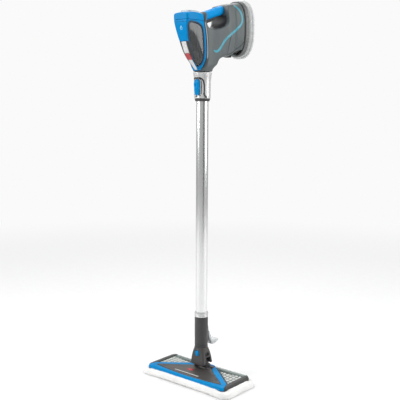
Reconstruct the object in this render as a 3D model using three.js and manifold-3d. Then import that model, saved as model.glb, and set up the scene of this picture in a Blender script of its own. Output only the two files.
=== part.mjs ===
// Two-in-one steam mop: a hand-held steamer that plugs into the top of a wand, and a wide mop head
// on a two-axis swivel at its foot.
// Millimetres, +Z up. The front of the mop faces -Y and its width runs along X. The pad's underside is Z = 0.
// The wand's axis is the line X = 0, Y = 0.
import * as THREE from "three";
import { mergeVertices } from "three/addons/utils/BufferGeometryUtils.js";
import Module from "manifold-3d";

const wasm = await Module();
wasm.setup();

// ---------------------------------------------------------------- driving dimensions
const GAP = 0.35; // clearance between pieces that touch
const WALL = 2.6; // moulded shell wall
const PAD = { x: 166, front: -90, back: 57, corner: 24, top: 20, pocket: 11.5 };
const HEAD = { x: 151, front: -81, back: 48, corner: 16, sole: 13.6, deck: 22, edge: 29, cover: 33 };
const TILT = { y: 5, z: 41, pin: 3 }; // transverse pivot between head and yoke
const ROLL = { y: 5, z: 60, pin: 3 }; // fore-and-aft pivot between yoke and neck
const NECK = { skirt: 44, bottom: 52, top: 97 };
const TUBE = { r: 17.5, wall: 1.2, bottom: 185.2, top: 845 };
const LOWER = { r: 20, bottom: 97.4, top: 184.5 };
const COLLAR = { bottom: 834, top: 907, rBottom: 23.6, rTop: 27.2, socket: 21 };
const NOZZLE = { r: 20.5, tip: 852 };
const SEAM_Y = 150; // the joint between the hand-held's body and its base
const BASE = { z: 1041, halfX: 40, halfZ: 79 };
const FLANGE = { halfX: 54, halfZ: 87, y0: 163, y1: 176 };
const INLET = { y: 116, r: 8.6, z: 955.2 }; // where the mains cord would enter, under the body
const ROUND = 32; // sides of a round piece
const SMALL_ROUND = 16;

// ---------------------------------------------------------------- materials
const paint = (color, roughness = 0.45, metalness = 0) =>
  new THREE.MeshStandardMaterial({ color, roughness, metalness });
const GREY = paint(0x6a6d6c, 0.42);
const DARK = paint(0x3c3e3e, 0.5);
const BLACK = paint(0x151516, 0.6);
const BLUE = paint(0x0390d2, 0.3);
const NAVY = paint(0x173f5e, 0.35);
const SILVER = paint(0xc9cbca, 0.3, 0.4);
const ALUMINIUM = paint(0xb9bbbb, 0.28, 0.9);
const STEEL = paint(0x9a9c9e, 0.3, 1);
const CLEAR = paint(0xc8d2d0, 0.1);
const SMOKE = paint(0x5c5f60, 0.12);
const WHITE = paint(0xf2f1ee, 0.95);
const RED = paint(0xb02a35, 0.4);
const RUBBER = paint(0x222324, 0.8);
const BRASS = paint(0xb08d4c, 0.35, 0.9);

// ---------------------------------------------------------------- making and cutting solids
function solid(geometry) {
  const bare = geometry.index ? geometry.toNonIndexed() : geometry;
  const position = new THREE.BufferGeometry().setAttribute("position", bare.getAttribute("position"));
  const merged = mergeVertices(position, 1e-4);
  return new wasm.Manifold(
    new wasm.Mesh({
      numProp: 3,
      vertProperties: new Float32Array(merged.attributes.position.array),
      triVerts: new Uint32Array(merged.index.array),
    }),
  );
}

function geometryOf(made) {
  const { vertProperties, triVerts, numProp } = made.getMesh();
  const points = new Float32Array((vertProperties.length / numProp) * 3);
  for (let i = 0; i < points.length / 3; i++)
    for (let k = 0; k < 3; k++) points[3 * i + k] = vertProperties[numProp * i + k];
  const geometry = new THREE.BufferGeometry();
  geometry.setAttribute("position", new THREE.BufferAttribute(points, 3));
  geometry.setIndex(new THREE.BufferAttribute(new Uint32Array(triVerts), 1));
  geometry.computeVertexNormals();
  return geometry;
}

const root = new THREE.Group();
function add(name, made, material) {
  const mesh = new THREE.Mesh(geometryOf(made), material);
  mesh.name = name;
  root.add(mesh);
  return made;
}
const union = (first, ...others) => others.reduce((sum, next) => sum.add(next), first);
const cut = (first, ...others) => others.reduce((rest, next) => rest.subtract(next), first);

function box(x0, x1, y0, y1, z0, z1) {
  const g = new THREE.BoxGeometry(x1 - x0, y1 - y0, z1 - z0);
  return solid(g.translate((x0 + x1) / 2, (y0 + y1) / 2, (z0 + z1) / 2));
}

// A cylinder or cone along X, Y or Z between two stations, round the point given by the other two coordinates.
function rod(axis, from, to, centre, r0, r1 = r0, sides = SMALL_ROUND) {
  const g = new THREE.CylinderGeometry(r1, r0, to - from, sides).translate(0, (from + to) / 2, 0);
  if (axis === "x") g.rotateZ(-Math.PI / 2).translate(0, centre[0], centre[1]);
  if (axis === "y") g.translate(centre[0], 0, centre[1]);
  if (axis === "z") g.rotateX(Math.PI / 2).translate(centre[0], centre[1], 0);
  return solid(g);
}

const outline = (points) => new THREE.Shape(points.map(([u, v]) => new THREE.Vector2(u, v)));
function extruded(shape, depth, bevel = 0) {
  return new THREE.ExtrudeGeometry(shape, {
    depth: depth - 2 * bevel,
    bevelEnabled: bevel > 0,
    bevelThickness: bevel,
    bevelSize: bevel,
    bevelOffset: -bevel,
    bevelSegments: 2,
    curveSegments: 6,
  }).translate(0, 0, bevel);
}
// Outline in (Y, Z), swept along X.
function prismX(points, x0, x1, bevel = 0) {
  const g = extruded(outline(points), x1 - x0, bevel).translate(0, 0, x0);
  const m = new THREE.Matrix4().set(0, 0, 1, 0, 1, 0, 0, 0, 0, 1, 0, 0, 0, 0, 0, 1);
  return solid(g.applyMatrix4(m));
}
// Outline in (X, Z), swept along Y.
function prismY(points, y0, y1, bevel = 0) {
  return solid(extruded(outline(points), y1 - y0, bevel).translate(0, 0, -y1).rotateX(Math.PI / 2));
}
// Outline in (X, Y), swept along Z.
function prismZ(points, z0, z1, bevel = 0) {
  return solid(extruded(outline(points), z1 - z0, bevel).translate(0, 0, z0));
}

function roundedRect(x0, x1, y0, y1, r, steps = 5) {
  const points = [];
  const centres = [
    [x1 - r, y0 + r, -90],
    [x1 - r, y1 - r, 0],
    [x0 + r, y1 - r, 90],
    [x0 + r, y0 + r, 180],
  ];
  for (const [cx, cy, start] of centres)
    for (let i = 0; i <= steps; i++) {
      const t = THREE.MathUtils.degToRad(start + (90 * i) / steps);
      points.push([cx + r * Math.cos(t), cy + r * Math.sin(t)]);
    }
  return points;
}

// A solid through closed rings of points, each ring with the same count, in order from the first cap to the last.
function loft(rings) {
  const n = rings[0].length;
  const vertices = rings.flat();
  const faces = [];
  for (let k = 0; k + 1 < rings.length; k++)
    for (let i = 0; i < n; i++) {
      const j = (i + 1) % n;
      faces.push([k * n + i, k * n + j, (k + 1) * n + j], [k * n + i, (k + 1) * n + j, (k + 1) * n + i]);
    }
  for (let i = 1; i + 1 < n; i++) {
    const last = (rings.length - 1) * n;
    faces.push([0, i + 1, i], [last, last + i, last + i + 1]);
  }
  const g = new THREE.BufferGeometry();
  g.setAttribute("position", new THREE.BufferAttribute(new Float32Array(vertices.flat()), 3));
  g.setIndex(faces.flat());
  const made = solid(g);
  if (made.volume() >= 0) return made;
  g.setIndex(faces.map(([a, b, c]) => [a, c, b]).flat());
  return solid(g);
}

// One ring of a superellipse in the XZ plane at station y.
function ringY(y, z, halfX, halfZ, power, count = ROUND) {
  return Array.from({ length: count }, (_, i) => {
    const t = (2 * Math.PI * i) / count;
    const c = Math.cos(t);
    const s = Math.sin(t);
    const x = halfX * Math.sign(c) * Math.abs(c) ** (2 / power);
    return [x, y, z + halfZ * Math.sign(s) * Math.abs(s) ** (2 / power)];
  });
}
// The same in the XY plane at height z.
function ringZ(z, y, halfX, halfY, power, count = ROUND) {
  return ringY(0, 0, halfX, halfY, power, count).map(([x, , v]) => [x, y + v, z]);
}

// ---------------------------------------------------------------- mop head
// Plan outlines shared by the pieces of the deck, for the +X side; the -X side mirrors them.
const WINDOW = [[30, 37], [137, -43], [137, 37]];
const COVER = [[-126, -62], [126, -62], [28, 10], [28, 38], [-28, 38], [-28, 10]];
const COVER_ROOM = [[-127, -62.4], [127, -62.4], [28.4, 10.1], [28.4, 38.4], [-28.4, 38.4], [-28.4, 10.1]];
const END_LINE = 140;
const mirrored = (points) => points.map(([x, y]) => [-x, y]).reverse();

function mopPad() {
  const outside = prismZ(roundedRect(-PAD.x, PAD.x, PAD.front, PAD.back, PAD.corner), 0, PAD.top, 5);
  const pocket = prismZ(
    roundedRect(-HEAD.x - GAP, HEAD.x + GAP, HEAD.front - GAP, HEAD.back + GAP, HEAD.corner + GAP),
    PAD.pocket,
    PAD.top + 1,
  );
  add("mop_pad", cut(outside, pocket), WHITE);
  const strip = (y) => box(-130, 130, y - 11, y + 11, PAD.pocket + GAP, HEAD.sole - GAP);
  add("hook_strip_front", strip(-55), DARK);
  add("hook_strip_rear", strip(24), DARK);
}

function solePlate() {
  const plate = prismZ(
    roundedRect(-HEAD.x, HEAD.x, HEAD.front, HEAD.back, HEAD.corner),
    HEAD.sole,
    HEAD.deck - GAP,
  );
  const holes = [];
  for (let i = -3; i <= 3; i++) holes.push(rod("z", 0, 40, [i * 36, -16], 2.5, 2.5, 8));
  const channel = box(-120, 120, -20, -12, HEAD.sole + 4, 40);
  add("sole_plate", cut(plate, channel, ...holes), DARK);
  const block = box(-118, 118, -19.5, -12.5, HEAD.sole + 4 + GAP, HEAD.deck - 2 * GAP);
  const gallery = box(-112, 112, -17.5, -14.5, HEAD.sole + 4, HEAD.deck - 2);
  add("steam_manifold", cut(block, gallery), STEEL);
}

function headDeck() {
  const { x, front, back, corner, deck, edge, cover } = HEAD;
  const rim = roundedRect(-x, x, front, back, corner);
  const tiltRoom = box(-26.5, 26.5, -27, 60, deck + 2, 80);
  const endZone = (side, from) =>
    side > 0 ? box(from, 200, -66, 100, 0, 60) : box(-200, -from, -66, 100, 0, 60);
  const endCap = (side) => prismZ(rim, deck, edge, 3).intersect(endZone(side, END_LINE + GAP));
  add("end_cap_right", endCap(1), DARK);
  add("end_cap_left", endCap(-1), DARK);

  const frame = cut(
    prismZ(rim, deck, edge, 3),
    prismZ(COVER_ROOM, 0, 60),
    prismZ(WINDOW, 0, 60),
    prismZ(mirrored(WINDOW), 0, 60),
    endZone(1, END_LINE),
    endZone(-1, END_LINE),
    tiltRoom,
  );
  add("blue_frame", frame, BLUE);

  // Clear windows over the ribbed steam grilles.
  const pane = [[33.4, 36.4], [136.4, -40.6], [136.4, 36.4]];
  for (const [name, points] of [["right", pane], ["left", mirrored(pane)]]) {
    add(`window_${name}`, prismZ(points, deck + 3.4, deck + 5.4), CLEAR);
    const ribs = prismZ(points, deck, deck + 3);
    const slots = [];
    for (let y = -34; y < 32; y += 9) slots.push(box(-200, 200, y, y + 5, deck + 1.2, 60));
    add(`grille_${name}`, cut(ribs, ...slots), SILVER);
  }

  // The dark cover rises to the clevis that carries the tilt pin.
  const plate = prismZ(COVER, deck, edge + 1).intersect(prismZ(rim, 0, 60));
  const hump = loft([
    [[-112, -57, edge], [112, -57, edge], [28, 5, edge], [28, 36, edge], [-28, 36, edge], [-28, 5, edge]],
    [[-60, -42, cover], [60, -42, cover], [28, 0, cover], [28, 33, cover], [-28, 33, cover], [-28, 0, cover]],
  ]);
  const ear = (x0) =>
    union(
      box(x0, x0 + 5.5, TILT.y - 9, TILT.y + 9, deck + 1, TILT.z),
      rod("x", x0, x0 + 5.5, [TILT.y, TILT.z], 9, 9, 20),
    );
  const bore = rod("x", -40, 40, [TILT.y, TILT.z], TILT.pin + 0.1);
  const made = cut(union(cut(union(plate, hump), tiltRoom), ear(20), ear(-25.5)), bore);
  add("head_cover", made, GREY);
  add("head_badge", rod("z", cover + GAP, cover + 1.2, [-12, -35], 7, 6.6, 24), RED);
}

// ---------------------------------------------------------------- swivel
function swivel() {
  const hub = rod("x", -19.5, 19.5, [TILT.y, TILT.z], 8.6, 8.6, 20);
  const post = box(-11, 11, TILT.y - 8, TILT.y + 8, TILT.z, ROLL.z);
  const head = rod("y", TILT.y - 8, TILT.y + 8, [0, ROLL.z], 11, 11, 20);
  const tiltBore = rod("x", -40, 40, [TILT.y, TILT.z], TILT.pin + 0.1);
  const rollBore = rod("y", -40, 60, [0, ROLL.z], ROLL.pin + 0.1);
  add("swivel_yoke", cut(union(hub, post, head), tiltBore, rollBore), DARK);
  add("tilt_pin", rod("x", -25.5, 25.5, [TILT.y, TILT.z], TILT.pin), STEEL);
  add("roll_pin", rod("y", TILT.y - 19, TILT.y + 17, [0, ROLL.z], ROLL.pin), STEEL);
}

function neck() {
  const skirt = loft([
    [[-18, -18, NECK.skirt], [18, -18, NECK.skirt], [18, -7, NECK.skirt], [-18, -7, NECK.skirt]],
    [[-23, -18.6, NECK.bottom + 1], [23, -18.6, NECK.bottom + 1], [23, -7, NECK.bottom + 1], [-23, -7, NECK.bottom + 1]],
  ]);
  const rings = [
    ringZ(NECK.bottom, 2, 25, 21.5, 9),
    ringZ(62, 1.6, 24, 20.8, 9),
    ringZ(72, 1.2, 22.9, 20.3, 7),
    ringZ(82, 0.8, 21.8, 20.2, 4.5),
    ringZ(92, 0.3, 20.7, 20.2, 2.6),
    ringZ(NECK.top, 0, 20.3, 20.3, 2),
  ];
  const outside = union(loft(rings), skirt);
  // Room for the yoke at the foot, and a socket for the wand's spigot above.
  const swing = union(
    rod("y", TILT.y - 9.5, TILT.y + 9.5, [0, ROLL.z], 15, 15, 24),
    box(-40, 40, TILT.y - 9.5, TILT.y + 9.5, 30, 67),
  );
  const socket = rod("z", 79, NECK.top + 1, [0, 0], 15.4, 15.4, ROUND);
  const bore = rod("y", -60, 60, [0, ROLL.z], ROLL.pin + 0.08);
  const button = box(-7.5, 7.5, -40, -14, 72, 89);
  const whole = cut(outside, swing, socket, bore, button);
  add("neck_front", whole.intersect(box(-60, 60, -60, -GAP / 2, 0, 200)), GREY);
  add("neck_rear", whole.intersect(box(-60, 60, GAP / 2, 60, 0, 200)), GREY);
  const face = union(box(-6.8, 6.8, -21.5, -18.6, 72.8, 88.2), box(-6, 6, -18.7, -17.3, 74, 87));
  add("neck_button", face, BLUE);
}

// ---------------------------------------------------------------- wand
function wand() {
  const lowerBody = union(
    rod("z", LOWER.bottom, LOWER.top, [0, 0], LOWER.r - 0.6, LOWER.r, ROUND),
    rod("z", 80, LOWER.bottom + 1, [0, 0], 15, 15, ROUND),
  );
  const lowerBore = rod("z", 60, 134, [0, 0], 6, 6, SMALL_ROUND);
  const seat = rod("z", 133, 200, [0, 0], 16.4, 16.4, ROUND);
  const bracket = prismX([[17, 106], [25, 108], [27, 116], [25.5, 150], [22, 168], [17, 172]], -8, 8, 1.5);
  const bracketPin = rod("y", 10, 40, [0, 132], 2.2, 2.2, 12);
  const inside = rod("z", 60, 200, [0, 0], 15.8, 15.8, ROUND);
  add("lower_wand", cut(lowerBody, lowerBore, seat), DARK);
  const sleeve = rod("z", 60, 200, [0, 0], LOWER.r + GAP, LOWER.r + GAP, ROUND);
  add("hook_bracket", cut(bracket, sleeve, inside, bracketPin), DARK);
  add("spigot_seal", cut(rod("z", 91, 94, [0, 0], 15.3, 15.3, ROUND), rod("z", 90, 95, [0, 0], 15.1, 15.1, ROUND)), RUBBER);

  const ring = cut(
    union(rod("z", 185, 197, [0, 0], 20.6, 20, ROUND), rod("z", 197, 206, [0, 0], 20, 18.4, ROUND)),
    rod("z", 180, 210, [0, 0], TUBE.r + GAP, TUBE.r + GAP, ROUND),
  );
  add("lower_ring", ring, SILVER);
  const tube = cut(
    rod("z", TUBE.bottom, TUBE.top, [0, 0], TUBE.r, TUBE.r, ROUND),
    rod("z", 100, 900, [0, 0], TUBE.r - TUBE.wall, TUBE.r - TUBE.wall, ROUND),
  );
  add("wand_tube", tube, ALUMINIUM);
  const line = cut(rod("z", 136, 846, [0, 0], 5, 5, 12), rod("z", 100, 900, [0, 0], 3.4, 3.4, 12));
  add("steam_line", line, WHITE);
}

function cordHook() {
  const stem = prismX([[28, 139], [33, 139], [44, 112], [44, 104], [38, 104], [27.6, 127]], -6, 6, 1.5);
  const lip = prismX([[36, 97], [42, 94], [56, 97], [66, 104], [69, 108], [60, 108], [50, 106], [40, 105]], -13, 13, 2);
  add("cord_hook", union(stem, lip, rod("y", 20.6, 30, [0, 132], 2, 2, 12)), SILVER);
}

function collar() {
  const { bottom, top, rBottom, rTop, socket } = COLLAR;
  const shell = union(
    rod("z", bottom, 882, [0, 0], rBottom, rBottom + 0.8, ROUND),
    rod("z", 882, top, [0, 0], rBottom + 0.8, rTop, ROUND),
  );
  const upperBore = rod("z", 846.5, 950, [0, 0], socket, socket, ROUND);
  const tubeBore = rod("z", 800, 848, [0, 0], TUBE.r + GAP, TUBE.r + GAP, ROUND);
  const front = box(-13.2, 13.2, -40, 0, bottom + 4, 892);
  const well = box(-9.6, 9.6, -40, 0, bottom + 6, 889);
  add("upper_collar", cut(shell, upperBore, tubeBore, front), SILVER);
  const liner = cut(
    prismX([[-26, bottom + 4.4], [-21.6, bottom + 4.4], [-21.6, 891.6], [-26, 891.6]], -12.8, 12.8),
    well,
    rod("z", 800, 950, [0, 0], socket + GAP, socket + GAP, ROUND),
  );
  add("collar_plate", liner, DARK);
  const foot = cut(
    rod("z", 826, bottom - GAP, [0, 0], 21.4, 22.4, ROUND),
    rod("z", 800, 900, [0, 0], TUBE.r + GAP, TUBE.r + GAP, ROUND),
  );
  add("collar_ring", foot, DARK);
  const cap = prismX([[-30, 843], [-22.2, 842], [-22.2, 887.5], [-25.5, 887.5], [-28.4, 880]], -8.8, 8.8, 1);
  add("collar_button", cap, BLUE);
}

// ---------------------------------------------------------------- hand-held steamer
// Half-width of the front face and of the back edge of the tank frame, and the Y of both, by height.
const TANK_STATIONS = [
  { z: 911, yf: -34, yb: -25, f: 9, b: 18 },
  { z: 924, yf: -41, yb: -21, f: 11, b: 23 },
  { z: 940, yf: -55, yb: -17, f: 13.5, b: 27 },
  { z: 956, yf: -67, yb: -16, f: 14.5, b: 29 },
  { z: 988, yf: -83, yb: -18, f: 17, b: 30 },
  { z: 1016, yf: -91, yb: -22, f: 22, b: 30 },
  { z: 1037, yf: -95, yb: -26, f: 25, b: 30 },
  { z: 1046, yf: -96, yb: -27, f: 26, b: 30 },
];
const CAP_STATIONS = [
  { z: 1046, yf: -96, yb: -27, f: 26, b: 30 },
  { z: 1062, yf: -96, yb: -29, f: 26.5, b: 29 },
  { z: 1074, yf: -89, yb: -32, f: 22, b: 24 },
];
function tankRing({ z, yf, yb, f, b }, inset, zShift = 0) {
  const [x1, x2, y1, y2] = [f - inset, b - inset, yf + inset, yb - inset];
  const belly = (f + b) / 2 + 3 - inset;
  const right = [[x1 - 4, y1], [x1, y1 + 4], [belly, (yf + yb) / 2], [x2, yb - 7], [x2, y2]];
  const left = right.map(([x, y]) => [-x, y]).reverse();
  return [...right, ...left].map(([x, y]) => [x, y, z + zShift]);
}
const WINDOW_SIDE = [
  [-88, 1038], [-46, 1036], [-36, 1024], [-29, 990], [-26, 948],
  [-34, 930], [-44, 932], [-58, 952], [-74, 982], [-82, 1008],
];
const TANK_INSET = WALL + 1.4;
const DOOR = { z0: 990, z1: 1040 };

function tank() {
  const outside = loft(TANK_STATIONS.map((s) => tankRing(s, 0)));
  const room = loft(TANK_STATIONS.map((s, i) => tankRing(s, WALL, i === 0 ? 4 : 0)).concat(
    [tankRing({ ...TANK_STATIONS.at(-1), z: 1050 }, WALL)],
  ));
  const opened = cut(
    outside,
    room,
    prismX(WINDOW_SIDE, -60, 60),
    box(-14.4, 14.4, -120, -70, DOOR.z0 - 0.5, DOOR.z1 + 0.5),
    box(-60, 60, -60, 0, 1045.8, 1060),
  );
  add("tank_frame", opened, BLUE);

  const nested = (inset, z0, z1) =>
    loft(TANK_STATIONS.map((s) => tankRing(s, inset))).intersect(box(-60, 60, -120, 0, z0, z1));
  const mouth = rod("y", -110, -60, [0, 1016], 9, 9, 20);
  const skinned = cut(nested(TANK_INSET, 932, 1045.4), nested(TANK_INSET + 1.8, 934, 1043.2), mouth);
  add("water_tank", skinned, SMOKE);

  add("tank_end_cap", loft(CAP_STATIONS.map((s, i) => tankRing(s, 0, i === 0 ? GAP + 0.2 : 0))), BLUE);
  const doorBlank = loft(TANK_STATIONS.map((s) => tankRing(s, 0)));
  const doorBack = loft(TANK_STATIONS.map((s) => tankRing(s, WALL)));
  const leaf = cut(doorBlank, doorBack).intersect(box(-13.9, 13.9, -120, -74, DOOR.z0, DOOR.z1));
  add("fill_door", leaf, BLUE);

  // A silver strip and a plain badge lie on the front below the door.
  const skin = (z0, z1, halfX) => {
    const thick = loft(TANK_STATIONS.map((s) => tankRing({ ...s, yf: s.yf - 2 }, 0)));
    const clear = loft(TANK_STATIONS.map((s) => tankRing({ ...s, yf: s.yf - GAP }, 0)));
    return cut(thick, clear).intersect(box(-halfX, halfX, -130, -30, z0, z1));
  };
  add("front_trim", skin(958, 987, 9), SILVER);
  add("front_badge", skin(940, 957, 9), RED);
}

const GRIP_AXIS = THREE.MathUtils.degToRad(17.5);
const GRIP = { start: [-5, 1062], from: -15, to: 76, halfX: 15.5, halfN: 13 };
// A ring round the grip's axis, s millimetres along it.
function gripRing(s, halfX, halfN) {
  const [c, n] = [Math.cos(GRIP_AXIS), Math.sin(GRIP_AXIS)];
  return ringY(0, 0, halfX, halfN, 2.4, 20).map(([x, , v]) => [
    x,
    GRIP.start[0] + s * c - v * n,
    GRIP.start[1] + s * n + v * c,
  ]);
}
const gripSweep = (s0, s1, halfX, halfN) => loft([gripRing(s0, halfX, halfN), gripRing(s1, halfX, halfN)]);
const FINGER_GAP = [
  [-13, 1048], [74, 1076], [84, 1068], [88, 1058], [86, 1046], [78, 1036], [24, 1019], [6, 1019], [-8, 1028],
];
const BODY_SIDE = [
  [-24, 909], [26, 909], [36, 922], [46, 938], [62, 949], [84, 955], [100, 957], [100, 1106],
  [85, 1101], [40, 1087], [0, 1075], [-25, 1068], [-24, 1037], [-15.6, 995], [-14.4, 940], [-19, 921],
];
const rearRings = (inset, y0, y1) =>
  [
    { y: 84, z: 1027, hx: 34, hz: 73, p: 3.6 },
    { y: 118, z: 1033, hx: 37.5, hz: 76.5, p: 3 },
    { y: SEAM_Y, z: BASE.z, hx: BASE.halfX, hz: BASE.halfZ, p: 2.6 },
  ].map(({ y, z, hx, hz, p }, i) => ringY([y0, y, y1][i], z, hx - inset, hz - inset, p));

function housing() {
  const plan = [[-27, -30], [27, -30], [30, -8], [32, 40], [34.6, 100], [-34.6, 100], [-32, 40], [-30, -8]];
  const planInner = plan.map(([x, y]) => [x - Math.sign(x) * WALL, y]);
  const narrow = loft([ringZ(905, 1, 27.4, 27.6, 2), ringZ(921, 2, 29, 33, 2.6), ringZ(945, 5, 36, 60, 4)]);
  const neckZone = box(-80, 80, -80, 120, 900, 921);
  const front = cut(prismX(BODY_SIDE, -50, 50).intersect(prismZ(plan, 900, 1130)), neckZone);
  const foot = prismX(BODY_SIDE, -50, 50).intersect(neckZone).intersect(narrow);
  const rear = loft(rearRings(0, 84, SEAM_Y));
  const gripRoom = gripSweep(-60, 140, GRIP.halfX + 20, GRIP.halfN + 16);
  const above = cut(gripRoom, prismX([[-60, 1046], [-17, 1043], [90, 1076], [200, 1076], [200, 900], [-60, 900]], -80, 80));
  const outer = cut(union(front, foot, rear), prismX(FINGER_GAP, -80, 80), above.intersect(box(-80, 80, GRIP.from, GRIP.to, 1000, 1200)));

  const sideInner = [
    [-16, 925], [24, 925], [34, 938], [44, 946], [62, 953], [84, 959], [84, 1032], [30, 1014],
    [4, 1013], [-9, 1024], [-15, 1040], [-20, 1040], [-12.6, 995], [-11, 943],
  ];
  const roomFront = prismX(sideInner, -50, 50).intersect(prismZ(planInner, 900, 1130));
  const roomRear = cut(loft(rearRings(WALL, 83, SEAM_Y + 1)), prismX(
    [[70, 1120], [94, 1120], [95, 1040], [86, 1031], [70, 1027]], -80, 80));
  const throat = rod("z", 880, 940, [0, 0], 20.9, 20.9, ROUND);
  const inletHole = rod("z", 900, 990, [0, INLET.y], INLET.r + GAP, INLET.r + GAP, 20);
  const shell = cut(outer, roomFront, roomRear, throat, inletHole);
  add("housing_right", largest(shell.intersect(box(GAP / 2, 90, -80, 300, 800, 1200))), GREY);
  add("housing_left", largest(shell.intersect(box(-90, -GAP / 2, -80, 300, 800, 1200))), GREY);
}
const largest = (made) => made.decompose().sort((a, b) => b.volume() - a.volume())[0];

const onGrip = (s, n) => [
  GRIP.start[0] + s * Math.cos(GRIP_AXIS) - n * Math.sin(GRIP_AXIS),
  GRIP.start[1] + s * Math.sin(GRIP_AXIS) + n * Math.cos(GRIP_AXIS),
];

function grip() {
  const zone = box(-80, 80, GRIP.from + GAP, GRIP.to - GAP, 1000, 1200);
  const sleeve = cut(
    gripSweep(-30, 110, GRIP.halfX, GRIP.halfN),
    gripSweep(-32, 112, GRIP.halfX - 3, GRIP.halfN - 3),
  ).intersect(zone);
  const slot = prismX([[6, -2], [50, -2], [50, -30], [6, -30]].map(([s, n]) => onGrip(s, n)), -4.7, 4.7);
  add("grip", cut(sleeve, slot), BLUE);
}
function triggerParts() {
  const side = [[8, -6], [8, -17], [14, -22], [30, -21], [46, -17], [47, -8], [30, -6]].map(([s, n]) => onGrip(s, n));
  const pivot = onGrip(12, -3.4);
  const lug = rod("x", -4, 4, pivot, 4, 4, 12);
  add("trigger", cut(union(prismX(side, -4, 4, 1), lug), rod("x", -9, 9, pivot, 1.6, 1.6, 12)), BLACK);
  add("trigger_pin", rod("x", -9, 9, pivot, 1.5, 1.5, 12), STEEL);
  const at = (s0, s1, n0, n1, halfX) =>
    prismX([[s0, n0], [s1, n0], [s1, n1], [s0, n1]].map(([s, n]) => onGrip(s, n)), -halfX, halfX);
  add("trigger_switch", at(26, 46, 0.5, 7.5, 3.5), BLACK);
}

function internals() {
  add("boiler", union(box(-17, 17, 2, 44, 950, 1004), rod("z", 944, 951, [0, 14], 6, 6, SMALL_ROUND)), ALUMINIUM);
  add("thermostat", rod("y", 44.4, 50, [0, 984], 8, 8, SMALL_ROUND), BLACK);
  add("steam_outlet", union(rod("z", 912, 943.6, [0, 0], 4, 4, 12), rod("z", 905, 913, [0, 0], 6, 6, 12)), BRASS);
  add("pump", union(rod("y", 96, 132, [0, 1000], 15, 15, 20), rod("y", 132, 142, [0, 1000], 6, 6, 12)), BLACK);
  const feed = new THREE.CatmullRomCurve3(
    [[0, 95.6, 1000], [0, 84, 1001], [0, 72, 1004], [0, 60, 1007], [0, 46, 1009.4], [0, 30, 1008.6]].map(
      (p) => new THREE.Vector3(...p)),
  );
  const round = new THREE.Shape().absarc(0, 0, 2.6, 0, 2 * Math.PI);
  const hose = new THREE.ExtrudeGeometry(round, { steps: 14, extrudePath: feed, curveSegments: 5 });
  add("feed_hose", solid(hose), CLEAR);
  add("control_board", box(-22, 22, 140, 141.6, 1024, 1080), paint(0x1f5a3a, 0.6));
}

function nozzle() {
  const stem = cut(
    union(
      rod("z", NOZZLE.tip + 8, 926, [0, 0], NOZZLE.r - 0.2, NOZZLE.r - 0.2, ROUND),
      rod("z", NOZZLE.tip, NOZZLE.tip + 8, [0, 0], 14, 18, ROUND),
    ),
    rod("z", 800, 990, [0, 0], 8, 8, SMALL_ROUND),
  );
  add("nozzle", stem, DARK);
}

function cordInlet() {
  const { y, r, z } = INLET;
  const bush = union(
    rod("z", z - 0.6, z + 8, [0, y], r, r, 20),
    rod("z", z - 3, z - 0.5, [0, y], 11, 12, 24),
  );
  add("cord_inlet", cut(bush, rod("z", 900, 1000, [0, y], 4, 4, SMALL_ROUND)), BLACK);
}

function base() {
  const plate = loft([
    ringY(SEAM_Y + GAP, BASE.z, BASE.halfX - 1, BASE.halfZ - 1, 2.6),
    ringY(FLANGE.y0 - GAP, BASE.z, BASE.halfX + 3, BASE.halfZ + 2, 2.6),
  ]);
  const bossHole = rod("y", 140, 200, [0, BASE.z], 6, 6, SMALL_ROUND);
  add("base_plate", cut(plate, bossHole), DARK);
  const dish = loft([
    ringY(FLANGE.y0, BASE.z, FLANGE.halfX - 8, FLANGE.halfZ - 6, 2.6),
    ringY(FLANGE.y0 + 5, BASE.z, FLANGE.halfX, FLANGE.halfZ, 2.6),
    ringY(FLANGE.y1, BASE.z, FLANGE.halfX - 1.5, FLANGE.halfZ - 1.5, 2.6),
  ]);
  const recess = loft([
    ringY(FLANGE.y0 + 6, BASE.z, FLANGE.halfX - 16, FLANGE.halfZ - 16, 2.6),
    ringY(FLANGE.y1 + 1, BASE.z, FLANGE.halfX - 12, FLANGE.halfZ - 12, 2.6),
  ]);
  add("cord_flange", cut(dish, recess), CLEAR);
  for (const [name, z] of [["upper", 1083], ["lower", 999]])
    add(`base_foot_${name}`, rod("y", FLANGE.y0 + 6 + GAP, FLANGE.y1 + 1, [0, z], 12, 11, 20), RUBBER);
}

mopPad();
solePlate();
headDeck();
swivel();
neck();
wand();
cordHook();
collar();
tank();
housing();
grip();
triggerParts();
internals();
nozzle();
cordInlet();
base();

export default root;
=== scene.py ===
# Steam mop: a hand-held steamer on a metal wand over a wide microfibre pad.
# Shapes are worked out in millimetres, in the model's own frame (+Z up, the mop's front faces -Y), and
# turned into metres when a mesh is made. Most moulded pieces are written as fields: functions that give
# the signed distance from a point to the surface, negative inside.
import functools
import itertools
import math

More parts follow.
